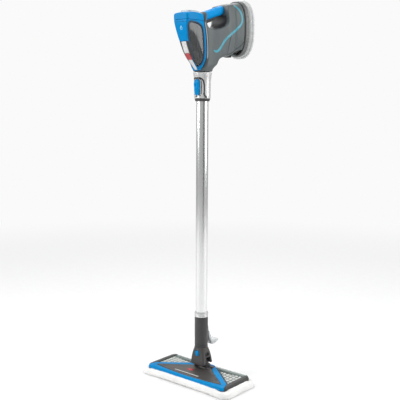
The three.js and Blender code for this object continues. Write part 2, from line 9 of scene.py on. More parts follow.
import bpy
import numpy as np
from mathutils import Euler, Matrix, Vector


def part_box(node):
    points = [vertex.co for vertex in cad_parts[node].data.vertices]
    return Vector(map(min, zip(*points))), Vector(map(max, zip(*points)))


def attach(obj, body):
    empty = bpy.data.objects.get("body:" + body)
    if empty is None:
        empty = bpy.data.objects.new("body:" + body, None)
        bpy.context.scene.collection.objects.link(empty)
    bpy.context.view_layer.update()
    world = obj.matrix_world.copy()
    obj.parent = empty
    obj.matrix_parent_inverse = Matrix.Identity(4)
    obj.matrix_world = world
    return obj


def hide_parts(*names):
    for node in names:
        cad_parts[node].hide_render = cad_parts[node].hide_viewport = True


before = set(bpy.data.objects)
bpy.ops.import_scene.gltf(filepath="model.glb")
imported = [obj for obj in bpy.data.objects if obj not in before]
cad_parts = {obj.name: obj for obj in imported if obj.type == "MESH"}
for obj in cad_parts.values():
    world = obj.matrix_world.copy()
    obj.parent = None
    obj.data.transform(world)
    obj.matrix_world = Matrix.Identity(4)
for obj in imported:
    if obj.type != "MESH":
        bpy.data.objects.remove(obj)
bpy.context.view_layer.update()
MM = 0.001
SIDES = (("right", 1), ("left", -1))
COARSE = 1.0


def span(node):
    """Lowest and highest corner of a CAD node, in millimetres."""
    low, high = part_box(node)
    return np.array(low) / MM, np.array(high) / MM


# ---------------------------------------------------------------- camera
def make_camera():
    azimuth, pitch = math.radians(40.1), math.radians(7.34)
    distance, height = 2.033, 0.802
    data = bpy.data.cameras.new("camera")
    data.sensor_width = 36
    data.lens = 63.09
    data.shift_x = -0.0048
    camera = bpy.data.objects.new("camera", data)
    camera.location = (distance * math.sin(azimuth), -distance * math.cos(azimuth), height)
    tilt = math.radians(0.28)
    turn = Euler((math.pi / 2 - pitch, 0, azimuth)).to_matrix() @ Euler((0, 0, tilt)).to_matrix()
    camera.rotation_euler = turn.to_euler()
    bpy.context.scene.collection.objects.link(camera)
    bpy.context.scene.camera = camera


# ---------------------------------------------------------------- fields
def length(*parts):
    return np.sqrt(sum(part * part for part in parts))


def smooth_min(a, b, k):
    h = np.clip(0.5 + 0.5 * (b - a) / k, 0, 1)
    return b * (1 - h) + a * h - k * h * (1 - h)


def smooth_max(a, b, k):
    return -smooth_min(-a, -b, k)


def carve(field, taken, k):
    """One field with another taken out of it, and the edge between them eased."""
    return smooth_max(field, -taken, k)


def meet(*parts):
    """What lies inside all the fields."""
    return functools.reduce(np.maximum, parts)


def join(*parts):
    """What lies inside any of the fields."""
    return functools.reduce(np.minimum, parts)


def rounded_max(a, b, r):
    """Where two fields meet, with the outer edge rounded to radius r."""
    a, b = a + r, b + r
    return np.minimum(np.maximum(a, b), 0) + length(np.maximum(a, 0), np.maximum(b, 0)) - r


def outline_distance(points, u, v):
    """Signed distance in a plane to a closed outline."""
    best, sign = np.inf, 1.0
    for (ax, ay), (bx, by) in zip(points, points[-1:] + points[:-1]):
        ex, ey, wx, wy = bx - ax, by - ay, u - ax, v - ay
        t = np.clip((wx * ex + wy * ey) / (ex * ex + ey * ey), 0, 1)
        best = np.minimum(best, (wx - ex * t) ** 2 + (wy - ey * t) ** 2)
        above, below, left = v >= ay, v < by, ex * wy > ey * wx
        sign = np.where((above & below & left) | ~(above | below | left), -sign, sign)
    return sign * np.sqrt(best)


def eased(points, rounds=3):
    """The outline with its corners cut again and again, so that they turn smoothly."""
    for _ in range(rounds):
        cut = []
        for (ax, ay), (bx, by) in zip(points, points[1:] + points[:1]):
            cut += [(ax * (1 - t) + bx * t, ay * (1 - t) + by * t) for t in (0.25, 0.75)]
        points = cut
    return points


def route_distance(points, u, v):
    """Distance in a plane to an open route."""
    best = np.inf
    for (ax, ay), (bx, by) in zip(points, points[1:]):
        ex, ey, wx, wy = bx - ax, by - ay, u - ax, v - ay
        t = np.clip((wx * ex + wy * ey) / (ex * ex + ey * ey), 0, 1)
        best = np.minimum(best, (wx - ex * t) ** 2 + (wy - ey * t) ** 2)
    return np.sqrt(best)


def slab(t, low, high):
    return np.abs(t - (low + high) / 2) - (high - low) / 2


def block(x, y, z, low, high, r=0.0):
    """A box with rounded edges."""
    q = [slab(t, a, b) + r for t, a, b in zip((x, y, z), low, high)]
    outside = length(*(np.maximum(part, 0) for part in q))
    return np.minimum(np.maximum(np.maximum(q[0], q[1]), q[2]), 0) + outside - r


def superellipse(u, v, half_u, half_v, power):
    """Close to the distance from a rounded, squarish outline."""
    reach = (np.abs(u / half_u) ** power + np.abs(v / half_v) ** power) ** (1 / power)
    return (reach - 1) * np.minimum(half_u, half_v)


def ridges(t, pitch):
    """Flat-topped waves between -1 and 1."""
    return np.clip(np.cos(t * 2 * math.pi / pitch) * 2, -1, 1)


def hermite(table):
    """A smooth curve through a table of (station, value) pairs."""
    stations, values = (np.array(column, float) for column in zip(*table))
    slopes = np.gradient(values, stations)

    def at(t):
        t = np.clip(t, stations[0], stations[-1])
        i = np.clip(np.searchsorted(stations, t) - 1, 0, len(stations) - 2)
        step = stations[i + 1] - stations[i]
        s = (t - stations[i]) / step
        return (
            values[i] * (2 * s**3 - 3 * s**2 + 1)
            + slopes[i] * step * (s**3 - 2 * s**2 + s)
            + values[i + 1] * (3 * s**2 - 2 * s**3)
            + slopes[i + 1] * step * (s**3 - s**2)
        )

    return at


def slope_of(field, p, h=0.05):
    """The field and its gradient at a list of points."""
    value = field(*p.T)
    grads = []
    for k in range(3):
        step = np.zeros(3)
        step[k] = h
        grads.append((field(*(p + step).T) - field(*(p - step).T)) / (2 * h))
    return value, np.stack(grads, 1)


def settle(field, p, rounds=4, reach=1.0):
    """Moves points onto the field's surface, each by no more than reach."""
    start = p.copy()
    for _ in range(rounds):
        value, grad = slope_of(field, p)
        p = p - grad * (value / np.maximum((grad * grad).sum(1), 0.05))[:, None]
        p = start + np.clip(p - start, -reach, reach)
    return p


def net(field, low, high, cell):
    """The surface of a field between two corners, as points and four-sided faces."""
    cell *= COARSE
    axes = [np.arange(a - 2 * cell, b + 3 * cell, cell) for a, b in zip(low, high)]
    x, y, z = np.meshgrid(*axes, indexing="ij", sparse=True)
    shape = tuple(len(axis) for axis in axes)
    inside = np.broadcast_to(field(x, y, z), shape) < 0
    corners = [
        inside[i : shape[0] - 1 + i, j : shape[1] - 1 + j, k : shape[2] - 1 + k]
        for i, j, k in itertools.product((0, 1), repeat=3)
    ]
    count = sum(corner.astype(np.int8) for corner in corners)
    active = (count > 0) & (count < 8)
    where = np.argwhere(active)
    index = np.full(active.shape, -1)
    index[active] = np.arange(len(where))
    origin = np.array([axis[0] for axis in axes])
    points = settle(field, origin + (where + 0.5) * cell, reach=0.95 * cell)
    faces = []
    for a in range(3):
        b, c = (a + 1) % 3, (a + 2) % 3
        here = np.moveaxis(inside, a, 0)
        changed = np.moveaxis(here[1:] != here[:-1], 0, a)
        edges = np.argwhere(changed)
        inner = (edges[:, b] > 0) & (edges[:, c] > 0)
        edges = edges[inner & (edges[:, b] < shape[b] - 1) & (edges[:, c] < shape[c] - 1)]
        ring = []
        for db, dc in ((1, 1), (0, 1), (0, 0), (1, 0)):
            at = edges.copy()
            at[:, b] -= db
            at[:, c] -= dc
            ring.append(index[tuple(at.T)])
        quads = np.stack(ring, 1)
        starts_inside = inside[tuple(edges.T)]
        quads[~starts_inside] = quads[~starts_inside][:, ::-1]
        faces.append(quads)
    return points, np.concatenate(faces)


# ---------------------------------------------------------------- meshes
def piece(name, points, faces, look, body, replaces=()):
    """A mesh piece that rides a body, in the look's material."""
    mesh = bpy.data.meshes.new(name)
    points = np.asarray(points, float) * MM
    faces = np.asarray(faces)
    mesh.vertices.add(len(points))
    mesh.vertices.foreach_set("co", points.ravel())
    mesh.loops.add(faces.size)
    mesh.loops.foreach_set("vertex_index", faces.ravel())
    mesh.polygons.add(len(faces))
    mesh.polygons.foreach_set("loop_start", np.arange(len(faces)) * faces.shape[1])
    mesh.update(calc_edges=True)
    mesh.validate()
    mesh.polygons.foreach_set("use_smooth", [True] * len(mesh.polygons))
    mesh.materials.append(M[look])
    made = bpy.data.objects.new(name, mesh)
    bpy.context.scene.collection.objects.link(made)
    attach(made, body)
    if replaces:
        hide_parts(*replaces)
    return made


def moulded(name, field, low, high, cell, look, body, replaces=(), slot=None):
    points, faces = net(field, low, high, cell)
    return piece(name, points, faces, look, body, replaces)


def fillet(profile, r, steps=4):
    """A closed profile with every corner turned into a short arc."""
    made = []
    for before, here, after in zip(profile[-1:] + profile[:-1], profile, profile[1:] + profile[:1]):
        here, before, after = (Vector(p[:2]) for p in (here, before, after))
        reach = min(r, 0.45 * (before - here).length, 0.45 * (after - here).length)
        start = here + (before - here).normalized() * reach
        end = here + (after - here).normalized() * reach
        for i in range(steps + 1):
            t = i / steps
            made.append(tuple(start * (1 - t) ** 2 + here * 2 * t * (1 - t) + end * t * t))
    return made


def lathe(name, profile, look, body, replaces=(), r=0.6, sides=96, centre=(0, 0), axis="z"):
    """A closed profile of (radius, station) pairs, turned about an axis."""
    profile = fillet(profile, r)
    angles = np.arange(sides) * 2 * math.pi / sides
    rad, sta = (np.array(column) for column in zip(*profile))
    u = np.outer(np.cos(angles), rad) + centre[0]
    v = np.outer(np.sin(angles), rad) + centre[1]
    t = np.broadcast_to(sta, u.shape)
    order = {"x": (t, u, v), "y": (u, t, v), "z": (u, v, t)}[axis]
    points = np.stack(order, -1).reshape(-1, 3)
    n = len(profile)
    i, j = np.meshgrid(np.arange(sides), np.arange(n), indexing="ij")
    k, m = (i + 1) % sides, (j + 1) % n
    faces = np.stack([i * n + j, k * n + j, k * n + m, i * n + m], -1).reshape(-1, 4)
    area = sum(a[0] * b[1] - b[0] * a[1] for a, b in zip(profile, profile[1:] + profile[:1]))
    if (area < 0) != (axis == "y"):
        faces = faces[:, ::-1]
    return piece(name, points, faces, look, body, replaces)


def spline(points, count):
    """A smooth open curve through the points, evenly spaced along its length."""
    points = np.array(points, float)
    ghost = np.vstack([2 * points[0] - points[1], points, 2 * points[-1] - points[-2]])
    fine = []
    for a, b, c, d in zip(ghost, ghost[1:], ghost[2:], ghost[3:]):
        for t in np.linspace(0, 1, 24, endpoint=False):
            square, cube = 2 * a - 5 * b + 4 * c - d, 3 * b - a - 3 * c + d
            fine.append(0.5 * (2 * b + (c - a) * t + square * t**2 + cube * t**3))
    fine = np.array(fine + [points[-1]])
    along = np.concatenate([[0], np.cumsum(np.linalg.norm(np.diff(fine, axis=0), axis=1))])
    wanted = np.linspace(0, along[-1], count)
    return np.stack([np.interp(wanted, along, column) for column in fine.T], 1)


def ribbon(name, field, route, width, side, look, body, proud=0.35):
    """A thin raised strip on a moulded surface, along a route of (y, z) points seen from the side."""
    line = spline(route, 90)
    x = np.full(len(line), 60.0)
    for _ in range(60):
        gap = field(x, line[:, 0], line[:, 1])
        x = x - np.clip(gap * 0.7, -2, 2)
    centre = settle(field, np.column_stack([x, line]), reach=2)
    _, normal = slope_of(field, centre)
    normal /= np.linalg.norm(normal, axis=1)[:, None]
    ahead = np.gradient(centre, axis=0)
    across = np.cross(normal, ahead)
    across /= np.linalg.norm(across, axis=1)[:, None]
    along = np.linspace(0, 1, len(line))
    taper = np.clip(np.minimum(along, 1 - along) * 18, 0.12, 1) ** 0.5
    rows = []
    sunk, edge = -0.5, proud * 0.7
    half = [(-1, sunk), (-0.97, edge), (-0.7, proud)]
    for u, lift in half + [(0, proud)] + [(-u, lift) for u, lift in reversed(half)]:
        flat = settle(field, centre + across * (u * width / 2 * taper)[:, None], reach=1.5)
        rows.append(flat + normal * lift)
    points = np.stack(rows, 1).reshape(-1, 3)
    m = len(rows)
    faces = [
        (i * m + j, i * m + (j + 1) % m, (i + 1) * m + (j + 1) % m, (i + 1) * m + j)
        for i in range(len(line) - 1)
        for j in range(m)
    ]
    if side < 0:
        points[:, 0] *= -1
        faces = [face[::-1] for face in faces]
    return piece(name, points, faces, look, body)


# ---------------------------------------------------------------- studio
BACKDROP = (0.955, 0.955, 0.955, 1)


def area_light(name, azimuth, elevation, distance, size, power, aim=(0, 0, 0.6)):
    data = bpy.data.lights.new(name, "AREA")
    data.shape = "RECTANGLE"
    data.size, data.size_y = size
    data.energy = power
    light = bpy.data.objects.new(name, data)
    a, e = math.radians(azimuth), math.radians(elevation)
    towards = Vector((math.sin(a) * math.cos(e), -math.cos(a) * math.cos(e), math.sin(e)))
    light.location = Vector(aim) + towards * distance
    light.rotation_euler = towards.to_track_quat("Z", "Y").to_euler()
    bpy.context.scene.collection.objects.link(light)


def sheet(name, corners, material, place, turn=0.0):
    """A flat sheet with four corners, which belongs to the studio."""
    mesh = bpy.data.meshes.new(name)
    mesh.from_pydata(corners, [], [(0, 1, 2, 3)])
    mesh.materials.append(material)
    made = bpy.data.objects.new(name, mesh)
    made.location, made.rotation_euler = place, (0, 0, turn)
    bpy.context.scene.collection.objects.link(made)
    return made


def make_studio():
    bpy.context.scene.view_settings.view_transform = "Standard"
    world = bpy.data.worlds.new("studio")
    bpy.context.scene.world = world
    world.use_nodes = True
    nodes, links = world.node_tree.nodes, world.node_tree.links
    soft, seen = nodes["Background"], nodes.new("ShaderNodeBackground")
    soft.inputs["Color"].default_value = (0.96, 0.965, 0.97, 1)
    soft.inputs["Strength"].default_value = 0.5
    seen.inputs["Color"].default_value = BACKDROP
    path, mix = nodes.new("ShaderNodeLightPath"), nodes.new("ShaderNodeMixShader")
    links.new(path.outputs["Is Camera Ray"], mix.inputs["Fac"])
    links.new(soft.outputs["Background"], mix.inputs[1])
    links.new(seen.outputs["Background"], mix.inputs[2])
    links.new(mix.outputs["Shader"], nodes["World Output"].inputs["Surface"])
    area_light("key", -38, 28, 2.6, (1.3, 2.2), 42)
    area_light("fill", 118, 22, 2.6, (1.2, 2.2), 34)
    area_light("top", 40, 82, 2.4, (2.4, 2.4), 26)
    area_light("back", 215, 40, 3.0, (1.8, 1.8), 24)
    r = 30
    sheet("floor", [(-r, -r, 0), (r, -r, 0), (r, r, 0), (-r, r, 0)], floor_paint(), (0, 0, -0.0002))

    # A dark card beside the camera, seen only in reflections: it draws the dark streak down the metal tube.
    turn, away = math.radians(68), 2.4
    half, low, high = 0.42, -1.3, 1.5
    corners = [(-half, 0, low), (half, 0, low), (half, 0, high), (-half, 0, high)]
    place = (away * math.sin(turn), -away * math.cos(turn), 0.8)
    card = sheet("dark_card", corners, finish("card_dark", (0.02, 0.02, 0.02), 0.9), place, turn)
    card.visible_camera = card.visible_diffuse = card.visible_shadow = card.visible_transmission = False


def floor_paint():
    """Pale paint that melts into the white background a few metres out."""
    material = finish("floor_pale", (0.86, 0.86, 0.86), 0.55, vary=0.01, grain=(90, 0.02))
    nodes, links = material.node_tree.nodes, material.node_tree.links
    place, far = nodes.new("ShaderNodeTexCoord"), nodes.new("ShaderNodeVectorMath")
    far.operation = "LENGTH"
    links.new(place.outputs["Object"], far.inputs[0])
    fade = nodes.new("ShaderNodeMapRange")
    fade.interpolation_type = "SMOOTHSTEP"
    fade.inputs["From Min"].default_value, fade.inputs["From Max"].default_value = 0.7, 3.2
    links.new(far.outputs["Value"], fade.inputs["Value"])
    path, both = nodes.new("ShaderNodeLightPath"), nodes.new("ShaderNodeMath")
    both.operation = "MULTIPLY"
    links.new(path.outputs["Is Camera Ray"], both.inputs[0])
    links.new(fade.outputs["Result"], both.inputs[1])
    white, mix = nodes.new("ShaderNodeEmission"), nodes.new("ShaderNodeMixShader")
    white.inputs["Color"].default_value = BACKDROP
    links.new(both.outputs["Value"], mix.inputs["Fac"])
    links.new(nodes["Principled BSDF"].outputs["BSDF"], mix.inputs[1])
    links.new(white.outputs["Emission"], mix.inputs[2])
    links.new(mix.outputs["Shader"], nodes["Material Output"].inputs["Surface"])
    return material


# ---------------------------------------------------------------- materials
def finish(
    name, colour, roughness, vary=0.05, smudge=0.06, grain=(900, 0.15), stretch=(1, 1, 1), wear=0.0, **sockets
):
    """A surface whose colour, roughness and fine relief all vary a little, with paler worn edges."""
    material = bpy.data.materials.new(name)
    material.use_nodes = True
    nodes, links = material.node_tree.nodes, material.node_tree.links
    shader = nodes["Principled BSDF"]
    place = nodes.new("ShaderNodeTexCoord").outputs["Object"]
    mapping = nodes.new("ShaderNodeMapping")
    mapping.inputs["Scale"].default_value = stretch
    links.new(place, mapping.inputs["Vector"])

    def noise(scale, detail=3.0):
        made = nodes.new("ShaderNodeTexNoise")
        made.inputs["Scale"].default_value = scale
        made.inputs["Detail"].default_value = detail
        links.new(mapping.outputs["Vector"], made.inputs["Vector"])
        return made.outputs["Fac"]

    def mixed(factor, first, second):
        made = nodes.new("ShaderNodeMix")
        made.data_type = "RGBA"
        links.new(factor, made.inputs["Factor"])
        for socket, value in ((made.inputs["A"], first), (made.inputs["B"], second)):
            if isinstance(value, tuple):
                socket.default_value = (*value, 1)
            else:
                links.new(value, socket)
        return made.outputs["Result"]

    def ranged(value, low, high, to_low, to_high):
        made = nodes.new("ShaderNodeMapRange")
        links.new(value, made.inputs["Value"])
        made.inputs["From Min"].default_value, made.inputs["From Max"].default_value = low, high
        made.inputs["To Min"].default_value, made.inputs["To Max"].default_value = to_low, to_high
        return made.outputs["Result"]

    darker = tuple(c * (1 - vary) for c in colour)
    lighter = tuple(min(1, c * (1 + vary)) for c in colour)
    tint = mixed(ranged(noise(28), 0.35, 0.65, 0, 1), darker, lighter)
    if wear:
        edge = nodes.new("ShaderNodeNewGeometry").outputs["Pointiness"]
        worn = tuple(c + (1 - c) * 0.35 for c in colour)
        tint = mixed(ranged(edge, 0.53, 0.62, 0, wear), tint, worn)
    links.new(tint, shader.inputs["Base Color"])
    rough = ranged(noise(70, 5), 0.3, 0.7, roughness - smudge, roughness + smudge)
    links.new(rough, shader.inputs["Roughness"])
    scale, strength = grain
    bump = nodes.new("ShaderNodeBump")
    bump.inputs["Strength"].default_value = strength
    bump.inputs["Distance"].default_value = 0.0003
    links.new(noise(scale, 2), bump.inputs["Height"])
    links.new(bump.outputs["Normal"], shader.inputs["Normal"])
    for socket, value in sockets.items():
        shader.inputs[socket.replace("_", " ")].default_value = value
    return material


make_camera()
make_studio()
M = {
    "blue": finish(
        "blue_gloss", (0.0, 0.235, 0.56), 0.3, grain=(260, 0.04), wear=0.1,
        Specular_IOR_Level=0.07, Coat_Weight=0.02,
    ),
    "grip": finish(
        "grip_blue", (0.0, 0.28, 0.68), 0.45, grain=(1500, 0.18), wear=0.1,
        Specular_IOR_Level=0.1,
    ),
    "grey": finish("body_grey", (0.082, 0.099, 0.101), 0.44, grain=(1300, 0.16), wear=0.22),
    "dark": finish("dark_plastic", (0.038, 0.038, 0.037), 0.4, grain=(1100, 0.2), wear=0.2),
    "deck": finish("deck_grey", (0.057, 0.053, 0.050), 0.38, grain=(1100, 0.18), wear=0.25),
    "base": finish("base_grey", (0.12, 0.127, 0.125), 0.34, grain=(900, 0.15), wear=0.2),
    "black": finish("black_plastic", (0.012, 0.012, 0.013), 0.5, grain=(1000, 0.2)),
    "navy": finish("navy_seal", (0.010, 0.05, 0.11), 0.35, grain=(500, 0.08)),
    "teal": finish("teal_inlay", (0.05, 0.31, 0.40), 0.32, grain=(700, 0.08)),
    "silver": finish(
        "silver_gloss", (0.62, 0.62, 0.62), 0.24, grain=(1600, 0.08), wear=0.2,
        Metallic=0.35, Coat_Weight=0.3,
    ),
    "pale": finish("pale_trim", (0.58, 0.60, 0.60), 0.3, grain=(900, 0.08)),
    "aluminium": finish(
        "brushed_aluminium", (0.78, 0.785, 0.78), 0.24, vary=0.03, smudge=0.05, grain=(700, 0.1),
        stretch=(2.4, 2.4, 0.03), Metallic=1.0, Anisotropic=0.5,
    ),
    "steel": finish("ground_steel", (0.55, 0.55, 0.56), 0.3, grain=(900, 0.1), Metallic=1.0),
    "cast": finish("cast_aluminium", (0.5, 0.51, 0.52), 0.5, grain=(500, 0.4), Metallic=1.0),
    "brass": finish("brass", (0.62, 0.45, 0.18), 0.3, Metallic=1.0),
    "rubber": finish("rubber", (0.02, 0.02, 0.021), 0.75, grain=(700, 0.3)),
    "red": finish("red_gloss", (0.42, 0.012, 0.02), 0.25, grain=(400, 0.05), Coat_Weight=0.4),
    "sky": finish("sky_print", (0.30, 0.62, 0.82), 0.3, grain=(600, 0.05)),
    "rib": finish("rib_plastic", (0.83, 0.84, 0.81), 0.35, grain=(700, 0.08), wear=0.3),
    "sage": finish("rail_sage", (0.20, 0.26, 0.25), 0.35, grain=(500, 0.08), Coat_Weight=0.3),
    "board": finish("board_green", (0.02, 0.10, 0.05), 0.4),
    "hose": finish("clear_hose", (0.8, 0.8, 0.78), 0.3, Transmission_Weight=0.4),
    "smoke": finish(
        "smoke_plastic", (0.30, 0.31, 0.315), 0.08, smudge=0.03, grain=(120, 0.02),
        Transmission_Weight=0.85, IOR=1.45,
    ),
    "clear": finish(
        "clear_plastic", (0.22, 0.27, 0.25), 0.12, vary=0.01, smudge=0.03, grain=(150, 0.02),
        Alpha=0.12, IOR=1.3, Specular_IOR_Level=0.25,
    ),
    "frost": finish(
        "flange_clear", (0.66, 0.68, 0.67), 0.3, grain=(300, 0.12),
        Transmission_Weight=0.2, IOR=1.4, Coat_Weight=0.2,
    ),
    "hooks": finish("hook_strip", (0.03, 0.03, 0.03), 0.8, grain=(1200, 0.8)),
    "pad": finish(
        "microfibre", (0.86, 0.855, 0.84), 0.9, grain=(650, 0.9),
        Sheen_Weight=0.6, Sheen_Roughness=0.5,
    ),
}


def dress(look, *nodes):
    """A better material on CAD pieces whose shape is already right."""
    for name in nodes:
        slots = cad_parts[name].material_slots
        for slot in slots:
            slot.material = M[look]


dress("steel", "steam_manifold", "tilt_pin", "roll_pin", "trigger_pin")
dress("hooks", "hook_strip_front", "hook_strip_rear")
dress("rubber", "spigot_seal")
dress("black", "trigger_switch", "thermostat", "pump")
dress("cast", "boiler")
dress("brass", "steam_outlet")
dress("board", "control_board")
dress("hose", "steam_line", "feed_hose")
dress("dark", "nozzle")


# ---------------------------------------------------------------- wand
def wand():
    (_, _, bottom), (radius, _, top) = span("wand_tube")
    lathe("tube", [(radius - 1.2, bottom), (radius, bottom), (radius, top), (radius - 1.2, top)],
          "aluminium", "wand", ["wand_tube"], r=0.4, sides=128)

    (_, _, z0), (r0, _, z1) = span("lower_ring")
    z0 += 6  # the dark sleeve comes up over the foot of the ring
    inner = radius + 0.35
    profile = [(inner, z0), (r0, z0), (r0, z0 + 4)]
    for k in range(2):  # two fine grooves round the ring
        z = z0 + 5 + 3.4 * k
        profile += [(r0 - 0.8, z), (r0 - 0.8, z + 0.9), (r0 - 0.1, z + 1.1), (r0 - 0.2, z + 3)]
    profile += [(r0 - 0.6, z1 - 8), (radius + 1.1, z1), (inner, z1)]
    lathe("ring_lower", profile, "silver", "wand", ["lower_ring"], r=0.5)

    (_, _, spigot), (r1, _, shoulder_top) = span("lower_wand")
    (_, _, neck_top) = span("neck_front")[1]
    shoulder = neck_top + 0.4
    profile = [
        (6, spigot), (14.2, spigot), (15, spigot + 1.5),
        (15, 90.6), (14.4, 90.9), (14.4, 94.2), (15, 94.6), (15, shoulder),  # with a seat for the seal
        (r1 - 0.8, shoulder), (r1 - 0.3, shoulder + 3), (r1 - 0.3, shoulder + 6), (r1 - 1.1, shoulder + 6.3),
        (r1 - 1.1, shoulder + 7.4), (r1 - 0.2, shoulder + 7.8), (r1, 150), (r1, shoulder_top + 6),
        (inner, shoulder_top + 6), (inner, shoulder_top + 0.4), (16.4, shoulder_top + 0.4),
        (16.4, 133), (6, 133),
    ]
    lathe("wand_foot", profile, "dark", "wand", ["lower_wand"], r=0.5)

    (_, _, z0), (r2, _, z1) = span("collar_ring")
    profile = [(inner, z0), (r2 - 1.8, z0), (r2 - 1.4, z0 + 2.5), (r2, z1 - 1.5), (r2, z1), (inner, z1)]
    lathe("ring_upper", profile, "dark", "wand", ["collar_ring"], r=0.5)


def bracket_and_hook():
    pivot_z = 132
    bracket = eased([(17, 104), (25, 108), (27.4, 116), (25.6, 150), (22, 168), (17, 174)], 2)
    (x0, _, z0), (x1, _, z1) = span("hook_bracket")
    tube_r = span("lower_wand")[1][0] + 0.3

    def bracket_field(x, y, z):
        side = abs(x) - x1
        body = rounded_max(outline_distance(bracket, y, z), side, 2.2)
        body = smooth_max(body, tube_r - length(x, y), 0.5)
        pivot = meet(length(x, z - pivot_z) - 5.6, 24 - y)
        groove = meet(abs(length(x, z - pivot_z) - 6.4) - 0.5, 24 - y)
        return carve(smooth_min(body, meet(pivot, y - 27.4), 1.0), groove, 0.4)

    moulded("bracket", bracket_field, (x0, 18, z0), (x1, 28, z1), 0.9, "dark", "wand", ["hook_bracket"])

    stem = eased([
        (28, 138.6), (33, 138.6), (35, 130), (44, 112), (44, 103), (38, 104), (31, 119), (27.8, 128),
    ], 2)
    lip = eased([
        (36, 98), (42, 94.4), (56, 97), (66, 103.5), (69.4, 109), (60, 108.6), (50, 106), (39, 106),
    ], 2)

    def hook_field(x, y, z):
        plate = rounded_max(outline_distance(stem, y, z), abs(x) - 6, 1.6)
        narrow = 13 - 4.5 * np.clip((66 - y) / 30, 0, 1) ** 2
        tongue = rounded_max(outline_distance(lip, y, z), abs(x) - narrow, 2.0)
        pin = meet(length(x, z - pivot_z) - 2, slab(y, 20.6, 30))
        rib = block(x, y, z, (-1.2, 33, 104), (1.2, 46, 122), 0.8)
        return smooth_min(smooth_min(smooth_min(plate, tongue, 3.0), pin, 0.5), rib, 1.5)

    moulded("hook", hook_field, (-13, 20, 94), (13, 69, 139), 0.9, "pale", "cord_hook", ["cord_hook"])


def collar():
    (_, _, bottom), (r_top, _, top) = span("upper_collar")
    r_low, socket, button_z = 23.6, 21.0, 864.5
    tube = span("wand_tube")[1][0] + 0.35

    def outside(x, y, z):
        flare = np.clip((z - 874) / (top - 874), 0, 1)
        radius = r_low + (r_top - r_low) * flare**1.6
        ring = length(x, y) - radius
        return rounded_max(ring, slab(z, bottom, top), 1.4)

    def recess(x, y, z, grow=0.0):
        """The room for the release button in the collar's front."""
        hole = superellipse(x, z - button_z, 13.2 + grow, 26.5 + grow, 5)
        return meet(hole, y + 15)

    def collar_field(x, y, z):
        inside = join(
            meet(length(x, y) - socket, 846.5 - z),
            meet(length(x, y) - tube, z - 848),
        )
        shell = carve(outside(x, y, z), inside, 0.8)
        groove = abs(z - (top - 4.5)) - 0.5
        groove = meet(groove, -(outside(x, y, z) + 0.7))
        return carve(carve(shell, recess(x, y, z), 1.2), groove, 0.4)

    moulded("collar", collar_field, (-28, -28, bottom), (28, 28, top), 0.9,
            "silver", "wand", ["upper_collar"])

    def liner_field(x, y, z):
        # A pale tray lines the recess, with its edge just under the collar's surface.
        tray = meet(recess(x, y, z, -2.0), outside(x, y, z) + 0.3)
        hollow = meet(superellipse(x, z - button_z, 9.4, 23.4, 5), y + 20.3)
        tray = carve(tray, hollow, 0.7)
        return smooth_max(tray, socket + 0.3 - length(x, y), 0.4)

    moulded("button_tray", liner_field, (-13, -28, bottom + 2), (13, -14, 893), 0.8,
            "pale", "wand", ["collar_plate"])

    def gasket_field(x, y, z):
        # A black line round the button's field, which runs out to the sides at the foot.
        spread = 5.5 * np.clip((bottom + 13 - z) / 9, 0, 1) ** 2
        edge = superellipse(x, z - 861, 18.6 + spread, 30.5, 4)
        band = meet(abs(edge) - 1.3, slab(z, bottom + 1.5, 893))
        skin = outside(x, y, z)
        return meet(rounded_max(band, slab(skin, -1.5, 0.35), 0.3), y + 5)

    moulded("button_gasket", gasket_field, (-26, -28, bottom + 1), (26, -4, 894), 0.8,
            "black", "wand", slot="rubber")

    def button_field(x, y, z):
        rise = 4.8 * np.clip((z - 842) / 30, 0, 1) * np.clip((889 - z) / 12, 0, 1)
        front = -25.6 - rise + 0.02 * x * x
        face = superellipse(x, z - button_z - 0.1, 8.8, 22.6, 4.5)
        cap = rounded_max(face, meet(front - y, y + 22.3), 1.6)
        dimple = length(x, (z - 870) * 0.55, y + 32.5) - 4.6
        return carve(cap, dimple, 1.0)

    moulded("button_upper", button_field, (-9, -31, 841), (9, -22, 888), 0.8,
            "blue", "collar_button", ["collar_button"])


wand()
bracket_and_hook()
collar()


# ---------------------------------------------------------------- hand-held steamer: water tank
WALL = 2.6
TANK_TOP = span("tank_frame")[1][2]
CAP_TOP = span("tank_end_cap")[1][2]
FRONT = hermite([
    (911, -26), (924, -38), (940, -54), (956, -66), (988, -81.5), (1016, -90), (1037, -94.5), (1062, -96),
])
BACK = hermite([
    (911, -26), (924, -21), (940, -17), (956, -16), (988, -18), (1016, -22), (1037, -26), (1062, -29),
])
FRONT_HALF = hermite([(911, 5), (924, 9), (956, 14), (988, 17), (1016, 22), (1046, 26)])
BACK_HALF = hermite([(911, 15), (924, 21), (940, 26.5), (988, 30), (1062, 29.4)])
WINDOW = eased([
    (-94, 1043), (-66, 1043), (-46, 1038), (-34, 1030), (-28, 1000), (-23, 948),
    (-29, 921), (-42, 918), (-57, 944), (-74, 976), (-86, 1008),
])
DOOR_FOOT = 989.5
NOSE_BACK = hermite([(905, -33), (918, -40), (930, -47), (944, -55), (960, -63), (976, -71.5), (1008, -84)])


def tank_skin(x, y, z):
    """The outside of the tank, end cap and door together."""
    front, back = FRONT(z), BACK(z)
    u = np.clip((y - front) / np.maximum(back - front, 0.001), 0, 1)
    half = FRONT_HALF(z) + (BACK_HALF(z) - FRONT_HALF(z)) * (3 * u**2 - 2 * u**3) + 10 * u * (1 - u)
    ring = rounded_max(abs(x) - half, meet(front - y, y - back), 5.5)
    crown = z - CAP_TOP + 4 + 0.0035 * ((y + 58) ** 2 + x * x)
    return rounded_max(rounded_max(ring, crown, 5), 911 - z, 2)


def window_at(y, z, grow=0.0):
    return outline_distance(WINDOW, y, z) - grow


